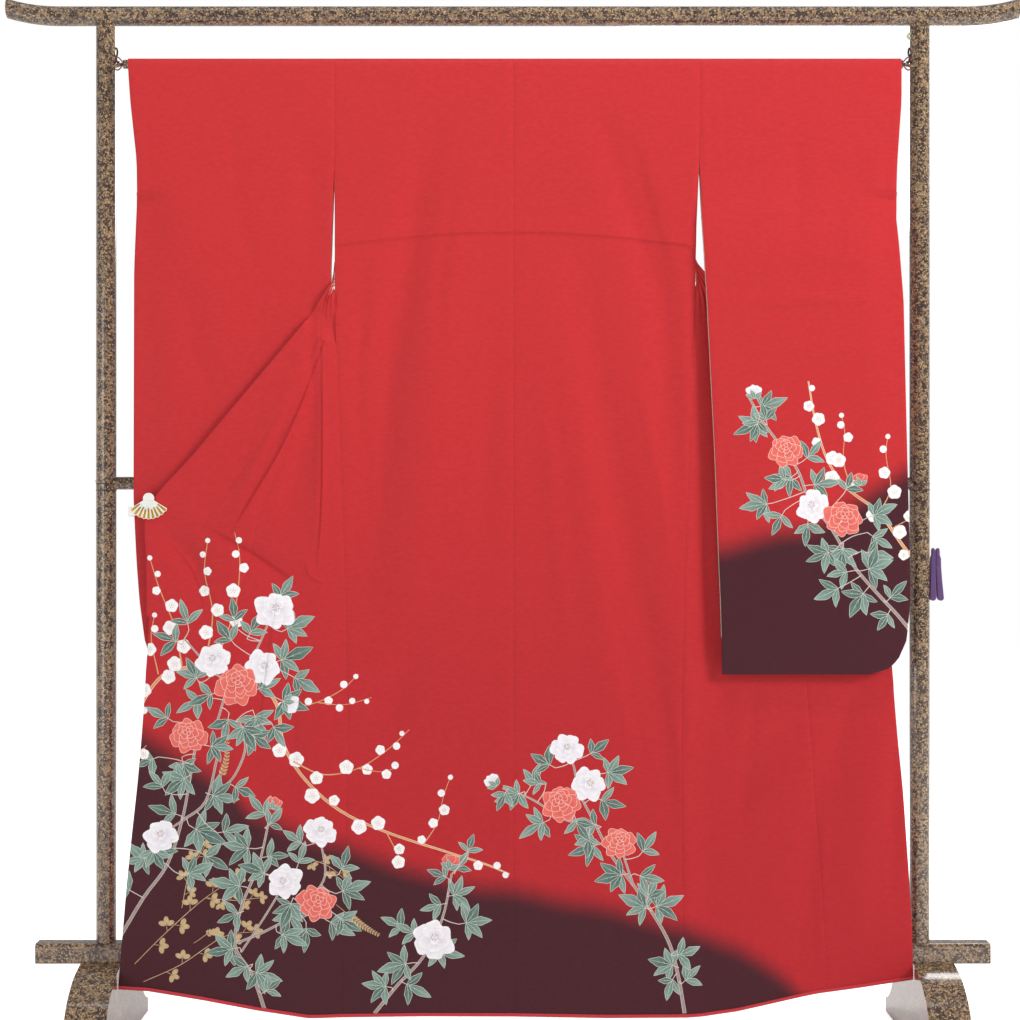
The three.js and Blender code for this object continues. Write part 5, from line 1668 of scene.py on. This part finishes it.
class FURISODE_OT_hem(bpy.types.Operator):
    """Builds the padded roll of lining below the hem"""

    bl_idname = "furisode.hem"
    bl_label = "Hem roll"

    def execute(self, context):
        xs = np.arange(-667.5, 682.6, 5.0)
        z = read(HEM, "x", xs, "z")
        y = fine_spread_y(xs, z)
        height, depth = HEM_ROLL["height"] / 2, HEM_ROLL["depth"] / 2
        angles = np.linspace(0, 2 * math.pi, 12, endpoint=False)
        rings = [
            [
                (xi, yi + WALL / 2 - depth * math.cos(a), zi + 0.6 - height + height * math.sin(a))
                for a in angles
            ]
            for xi, yi, zi in zip(xs, y, z)
        ]
        points, faces = lofted(np.array(rings))
        roll = make_piece("hem_roll_silk", points, faces, plain_silk("plain_silk"))
        place_piece(roll, "lining", "hem_roll")
        return {"FINISHED"}


def lofted(rings):
    """Points and triangles of a bar through rings, with flat ends."""
    count, sides = rings.shape[:2]
    faces = []
    for r in range(count - 1):
        for i in range(sides):
            a, b = r * sides + i, r * sides + (i + 1) % sides
            faces += [[a, a + sides, b + sides], [a, b + sides, b]]
    last = (count - 1) * sides
    for i in range(1, sides - 1):
        faces += [[0, i, i + 1], [last, last + i + 1, last + i]]
    return rings.reshape(-1, 3), faces


def prism(name, outline, y0, y1, material, bevel=0.6, segments=3):
    """A plate cut to an outline in X and Z, with rounded edges."""
    count = len(outline)
    mesh = bpy.data.meshes.new(name)
    points = [(x * MM, y * MM, z * MM) for y in (y0, y1) for x, z in outline]
    faces = [list(range(count)), [count + i for i in reversed(range(count))]]
    faces += [[i, i + count, (i + 1) % count + count, (i + 1) % count] for i in range(count)]
    mesh.from_pydata(points, [], faces)
    plate = bmesh.new()
    plate.from_mesh(mesh)
    bmesh.ops.recalc_face_normals(plate, faces=plate.faces)
    edges = [e for e in plate.edges if e.calc_face_angle(0) > 0.5]
    bmesh.ops.bevel(
        plate, geom=edges, offset=bevel * MM, segments=segments, affect="EDGES", profile=0.6
    )
    bmesh.ops.triangulate(plate, faces=plate.faces)
    plate.to_mesh(mesh)
    plate.free()
    return add_object(mesh, material, 40)


def round_bar(name, path, radius, material, sides=10):
    """A cord or wire of a radius through points, in millimetres."""
    path = np.asarray(path, float)
    tangent = unit(np.gradient(path, axis=0))
    across = unit(np.cross(tangent, np.array((0.31, 0.9, 0.3))))
    above = np.cross(across, tangent)
    angles = np.linspace(0, 2 * math.pi, sides, endpoint=False)
    rings = [
        [p + r * (u * math.cos(a) + v * math.sin(a)) for a in angles]
        for p, u, v, r in zip(path, across, above, np.broadcast_to(radius, len(path)))
    ]
    return make_piece(name, *lofted(np.array(rings)), material)


def arc(cx, cz, radius, start, end, count):
    """Points of an arc; the angles are in degrees."""
    angles = np.radians(np.linspace(start, end, count))
    return [(cx + radius * math.cos(a), cz + radius * math.sin(a)) for a in angles]


# Paths of the stand's small fittings: outwards from what carries them, depth and height.
POST = {"x": 700.0, "radius": 17.0, "joints": (952, 963), "screws": ((-16.6, 968), (16.6, 957))}
ROD_TIE = rows_of("""
    -1.0 -39.0 1679, 7.0 -34.0 1688, 15.0 -20.0 1692, 19.4 -5.0 1685, 17.0 -20.0 1673,
    8.0 -33.0 1668, -1.0 -39.0 1675
""")
POST_HOOK = rows_of("""
    -1.5 -2 1713, 2.6 -2 1711, 3.4 -2 1703, 1.6 -2 1696, 2.8 -2 1689, 5.2 -2 1687, 6.0 -2 1690
""")
CATCH = rows_of("2.0 -4 1737, -2.6 -4 1736, -3.4 -4 1731, 1.0 -4 1728")
STAND_NODES = (
    "hanging_rod", "rod_pin_left", "rod_pin_right", "top_rail", "post_left", "post_right",
    "middle_rail", "base_beam", "foot_left", "foot_right",
)


class FURISODE_OT_stand(bpy.types.Operator):
    """Lacquers the stand and adds its small fittings"""

    bl_idname = "furisode.stand"
    bl_label = "Stand"

    def execute(self, context):
        for name in STAND_NODES:
            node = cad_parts[name]
            node.data.materials.clear()
            node.data.materials.append(lacquer("stand_lacquer"))
        finish = context.scene.furisode_stand
        steel = metal("dark_steel", (0.09, 0.075, 0.07), 0.35)
        white = plastic("white_plastic", finish.clip, 0.3, 0.1)
        pale = plastic("pale_green_plastic", linear("C3C8AE"), 0.35, 0.1)
        cord = plastic("maroon_cord", finish.cord, 0.8)

        def fitting(name, path, radius, material, sides, slot="lacquer"):
            place_piece(round_bar(name, path, radius, material, sides), slot)

        turn = np.linspace(0, 2 * math.pi, 49)
        for name, side in SIDES:
            x = side * POST["x"]
            for n, z in enumerate(POST["joints"], 1):
                ring = columns_of(x + 17.1 * np.cos(turn), 17.1 * np.sin(turn), 0 * turn + z)
                fitting(f"post_joint_{name}_{n}", ring, 0.8, steel, 8)
            for n, (aside, z) in enumerate(POST["screws"], 1):
                outward = math.copysign(1, aside)
                reach, size = (2.6, 3.0) if outward == side else (6.5, 4.2)
                head = [(x + aside + outward * r, 0, z) for r in (0, reach - 1.4, reach)]
                widths = [size, size * 0.95, size * 0.55]
                fitting(f"post_screw_{name}_{n}", head, widths, white, 14, "clip_plastic")
            tie = [(side * (ROD["half"] + dx), y, z) for dx, y, z in ROD_TIE]
            fitting(f"rod_cord_{name}", smooth_line(tie, 6), 1.1, cord, 8)
            inner = side * (POST["x"] - POST["radius"] + 1)
            hook = [(inner - side * dx, y, z) for dx, y, z in POST_HOOK]
            fitting(f"post_hook_{name}", smooth_line(hook, 6), 1.7, steel, 8)
        catch = [(POST["x"] - POST["radius"] + dx, y, z) for dx, y, z in CATCH]
        fitting("post_catch", smooth_line(catch, 6), 2.2, pale, 10, "clip_plastic")
        return {"FINISHED"}


CLIP = {"x": -616.0, "z": 940.0, "radius": 38.0, "ribs": 9, "spread": 58.0, "front": -58.6}
CLIP_EDGE = -650.0


class FURISODE_OT_clip(bpy.types.Operator):
    """Builds the fan-shaped clip that holds the left front's free edge"""

    bl_idname = "furisode.clip"
    bl_label = "Fan clip"

    def execute(self, context):
        finish = context.scene.furisode_stand
        ivory = plastic("ivory_plastic", finish.clip, 0.25, 0.1)
        gold = metal("gilt_rib", finish.gilt, 0.3)
        x, z, radius, front = CLIP["x"], CLIP["z"], CLIP["radius"], CLIP["front"]
        first, last = -90 - CLIP["spread"], -90 + CLIP["spread"]
        pitch = (last - first) / CLIP["ribs"]

        def plate(name, outline, near, far, material=ivory, bevel=0.5, segments=3, nodes=()):
            piece = prism(f"clip_{name}", outline, near, far, material, bevel, segments)
            place_piece(piece, "clip_plastic", *nodes)

        rim = [(x, z)]
        for n in range(4 * CLIP["ribs"] + 1):
            a = math.radians(first + pitch * n / 4)
            reach = radius * (0.965 + 0.035 * math.sin(math.pi * (n % 4) / 4))
            rim.append((x + reach * math.cos(a), z + reach * math.sin(a)))
        plate("fan", rim, front + 0.5, front + 2.6, bevel=0.4, nodes=("fan_clip",))
        for n in range(CLIP["ribs"]):
            a, half = first + pitch * (n + 0.5), pitch * 0.27
            inner = arc(x, z, radius * (0.5 + 0.06 * (n % 2)), a - half, a + half, 3)
            rib = [*inner, *arc(x, z, radius * 0.975, a + half, a - half, 5)]
            plate(f"rib_{n + 1}", rib, front, front + 1.0, gold, 0.25, 2)
        guard = [
            *arc(x, z, radius * 0.14, first, last, 6), *arc(x, z, radius * 0.47, last, first, 14)
        ]
        plate("guard", guard, front + 0.05, front + 1.2, bevel=0.35)
        knob = arc(x, z - 2.5, 9.5, -20, 200, 20)
        plate("knob", knob, front - 0.6, front + 2.6, bevel=1.1, segments=4)
        for name, outline, near, far, bevel in (
            ("tongue", "0 907, 22 910, 24 918, 22 924, 0 922", front + 0.6, front + 2.6, 0.5),
            ("jaw", "0 907, 24.5 908, 24.5 922, 0 923", -31.4, -29.2, 0.6),
            ("bridge", "-0.4 907, 2.6 907, 2.6 923, -0.4 923", front + 0.8, -29.4, 0.7),
        ):
            outline = [(CLIP_EDGE + dx, height) for dx, height in rows_of(outline)]
            plate(name, outline, near, far, bevel=bevel)
        return {"FINISHED"}


PEG = {"x": 717.3, "z": 762.0, "width": 24.0, "parted": 50.0, "lean": 4.0, "tip": 5.2}
PEG_HALF = rows_of("""
    10.5 6, 10.0 34, 9.7 50, 9.7 84, 8.2 88.5, 5.8 91, 4.0 89, 3.4 84, 3.6 79, 1.8 74, 1.3 60,
    0.6 34, 0.0 6
""")


class FURISODE_OT_peg(bpy.types.Operator):
    """Builds the spare clothes peg on the right post"""

    bl_idname = "furisode.peg"
    bl_label = "Peg"

    def execute(self, context):
        violet = plastic("violet_plastic", context.scene.furisode_stand.peg, 0.42, 0.15)
        spring = metal("steel_spring", (0.35, 0.33, 0.37), 0.3)
        x, z = PEG["x"], PEG["z"]

        def placed(points, name):
            if name == "left":
                return [(x + dx, z + dz) for dx, dz in points]
            lean = [PEG["lean"] * min(1, dz / PEG["parted"]) for _, dz in points]
            return [(x + PEG["width"] - s - dx, z + dz) for s, (dx, dz) in zip(lean, points)]

        tip = arc(PEG["tip"], PEG["tip"], PEG["tip"], 180, 360, 11)
        for name, nodes in (("left", ("peg",)), ("right", ())):
            half = prism(f"peg_{name}", placed([*PEG_HALF, *tip], name), -6, 6, violet, 1.0)
            place_piece(half, "peg_plastic", *nodes)
            for n in range(4):
                low = 59 + 3.6 * n
                ridge = [(0.9, low), (2.4, low), (2.4, low + 1.7), (0.9, low + 1.7)]
                grip = f"peg_grip_{name}_{n + 1}"
                place_piece(
                    prism(grip, placed(ridge, name), -5, 5, violet, 0.3, 2), "peg_plastic"
                )
        angle = np.linspace(0, 6 * math.pi, 72)
        along = 12.4 * angle / (6 * math.pi) - 6.2
        coil = columns_of(x + 10 + 3.0 * np.cos(angle), along, z + 55 + 3.0 * np.sin(angle))
        place_piece(round_bar("peg_spring", coil, 0.5, spring, 6), "peg_plastic")
        return {"FINISHED"}


# Name, place, aim, size and power.
LIGHTS = (
    ("key", (4.0, -2.6, 2.9), (0.0, 0.0, 0.8), (1.3, 1.3), 140),
    ("overhead", (0.0, -0.75, 3.0), (0.0, -0.25, 0.0), (2.6, 0.2), 15),
    ("strip_left", (-2.5, 0.6, 1.0), (-0.7, 0.0, 1.0), (0.3, 2.0), 6),
    ("strip_right", (2.5, 0.6, 1.0), (0.7, 0.0, 1.0), (0.3, 2.0), 6),
    ("fill", (-2.8, -2.6, 0.9), (-0.2, 0.0, 0.7), (1.6, 1.6), 22),
    ("rear", (1.2, 2.8, 2.6), (0.0, 0.0, 0.9), (2.0, 1.6), 45),
)
CAMERA = {"place": (-0.005, -3.195, 0.918), "lens": 65.5, "sensor": 36.0, "reach": 50}
FLOOR_HALF = 9.0
# Brightness of the floor and the world to the camera, in reflections and otherwise.
FLOOR_GLOW = {"seen": 0.7, "otherwise": 0.14}
WORLD = {"seen": 1.0, "reflected": 0.3, "otherwise": 0.42}


class FURISODE_OT_stage(bpy.types.Operator):
    """Sets the floor, the lights and the camera"""

    bl_idname = "furisode.stage"
    bl_label = "Studio"

    def execute(self, context):
        scene = context.scene
        mesh = bpy.data.meshes.new("studio_floor")
        size = FLOOR_HALF
        corners = [(-size, -size, 0), (size, -size, 0), (size, size, 0), (-size, size, 0)]
        mesh.from_pydata(corners, [], [(0, 1, 2, 3)])
        material, tree, shader = new_material(
            "floor_paint", Roughness=0.8, Emission_Color=(1, 1, 1, 1)
        )
        ray = add_node(tree, "LightPath")
        glow = add_node(
            tree, "MapRange", To_Min=FLOOR_GLOW["otherwise"], To_Max=FLOOR_GLOW["seen"]
        )
        noise = add_node(tree, "TexNoise", Scale=3.0)
        ramp = add_ramp(tree, (0.86, 0.86, 0.86), (0.92, 0.92, 0.92))
        wire(
            tree,
            (noise, "Fac", ramp, "Fac"), (ramp, "Color", shader, "Base Color"),
            (ray, "Is Camera Ray", glow, "Value"), (glow, "Result", shader, "Emission Strength"),
        )
        floor = add_object(mesh, material)
        world = bpy.data.worlds.new("studio")
        world.use_nodes = True
        tree = world.node_tree
        sky = tree.nodes["Background"]
        sky.inputs["Color"].default_value = (1, 1, 1, 1)
        ray = add_node(tree, "LightPath")
        dimmed = add_node(tree, "MapRange", To_Min=WORLD["otherwise"], To_Max=WORLD["reflected"])
        strength = add_node(tree, "MapRange", To_Max=WORLD["seen"])
        wire(
            tree,
            (ray, "Is Glossy Ray", dimmed, "Value"), (dimmed, "Result", strength, "To Min"),
            (ray, "Is Camera Ray", strength, "Value"), (strength, "Result", sky, "Strength"),
        )
        scene.world = world
        scene.view_settings.view_transform = "Standard"
        for name, place, target, size, power in LIGHTS:
            light = bpy.data.lights.new(name, "AREA")
            light.shape = "RECTANGLE"
            light.size, light.size_y = size
            light.energy = power
            lamp = bpy.data.objects.new(name, light)
            lamp.location = place
            aim = Vector(target) - Vector(place)
            lamp.rotation_euler = aim.to_track_quat("-Z", "Y").to_euler()
            lamp.visible_glossy = name != "key"
            scene.collection.objects.link(lamp)
        camera = bpy.data.cameras.new("camera")
        camera.sensor_width = CAMERA["sensor"]
        camera.lens = CAMERA["lens"]
        camera.clip_end = CAMERA["reach"]
        viewer = bpy.data.objects.new("camera", camera)
        viewer.location = CAMERA["place"]
        viewer.rotation_euler = (math.pi / 2, 0, 0)
        scene.collection.objects.link(viewer)
        scene.camera = viewer
        return {"FINISHED"}


# ---- panel and running ----------------------------------------------------------------------

OPERATORS = (
    FURISODE_OT_back, FURISODE_OT_fronts, FURISODE_OT_collar, FURISODE_OT_sleeves,
    FURISODE_OT_hem, FURISODE_OT_stand, FURISODE_OT_clip, FURISODE_OT_peg, FURISODE_OT_stage,
)
GROUPS = {
    "furisode_sizes": FurisodeSizes,
    "furisode_dyes": FurisodeDyes,
    "furisode_stand": FurisodeStand,
}


class FURISODE_PT_panel(bpy.types.Panel):
    """Lists the settings and the pieces of the furisode"""

    bl_idname = "FURISODE_PT_panel"
    bl_label = "Furisode"
    bl_space_type = "VIEW_3D"
    bl_region_type = "UI"
    bl_category = "Furisode"

    def draw(self, context):
        for group_name, group in GROUPS.items():
            box = self.layout.box()
            for name in group.__annotations__:
                box.prop(getattr(context.scene, group_name), name)
        for operator in OPERATORS:
            self.layout.operator(operator.bl_idname)


def register():
    for item in (*GROUPS.values(), *OPERATORS, FURISODE_PT_panel):
        bpy.utils.register_class(item)
    for name, group in GROUPS.items():
        setattr(bpy.types.Scene, name, bpy.props.PointerProperty(type=group))


def unregister():
    for name in GROUPS:
        delattr(bpy.types.Scene, name)
    for item in (FURISODE_PT_panel, *reversed(OPERATORS), *reversed(GROUPS.values())):
        bpy.utils.unregister_class(item)


def main():
    register()
    for operator in OPERATORS:
        action = operator.bl_idname.split(".")[1]
        getattr(bpy.ops.furisode, action)()


if __name__ == "__main__":
    main()
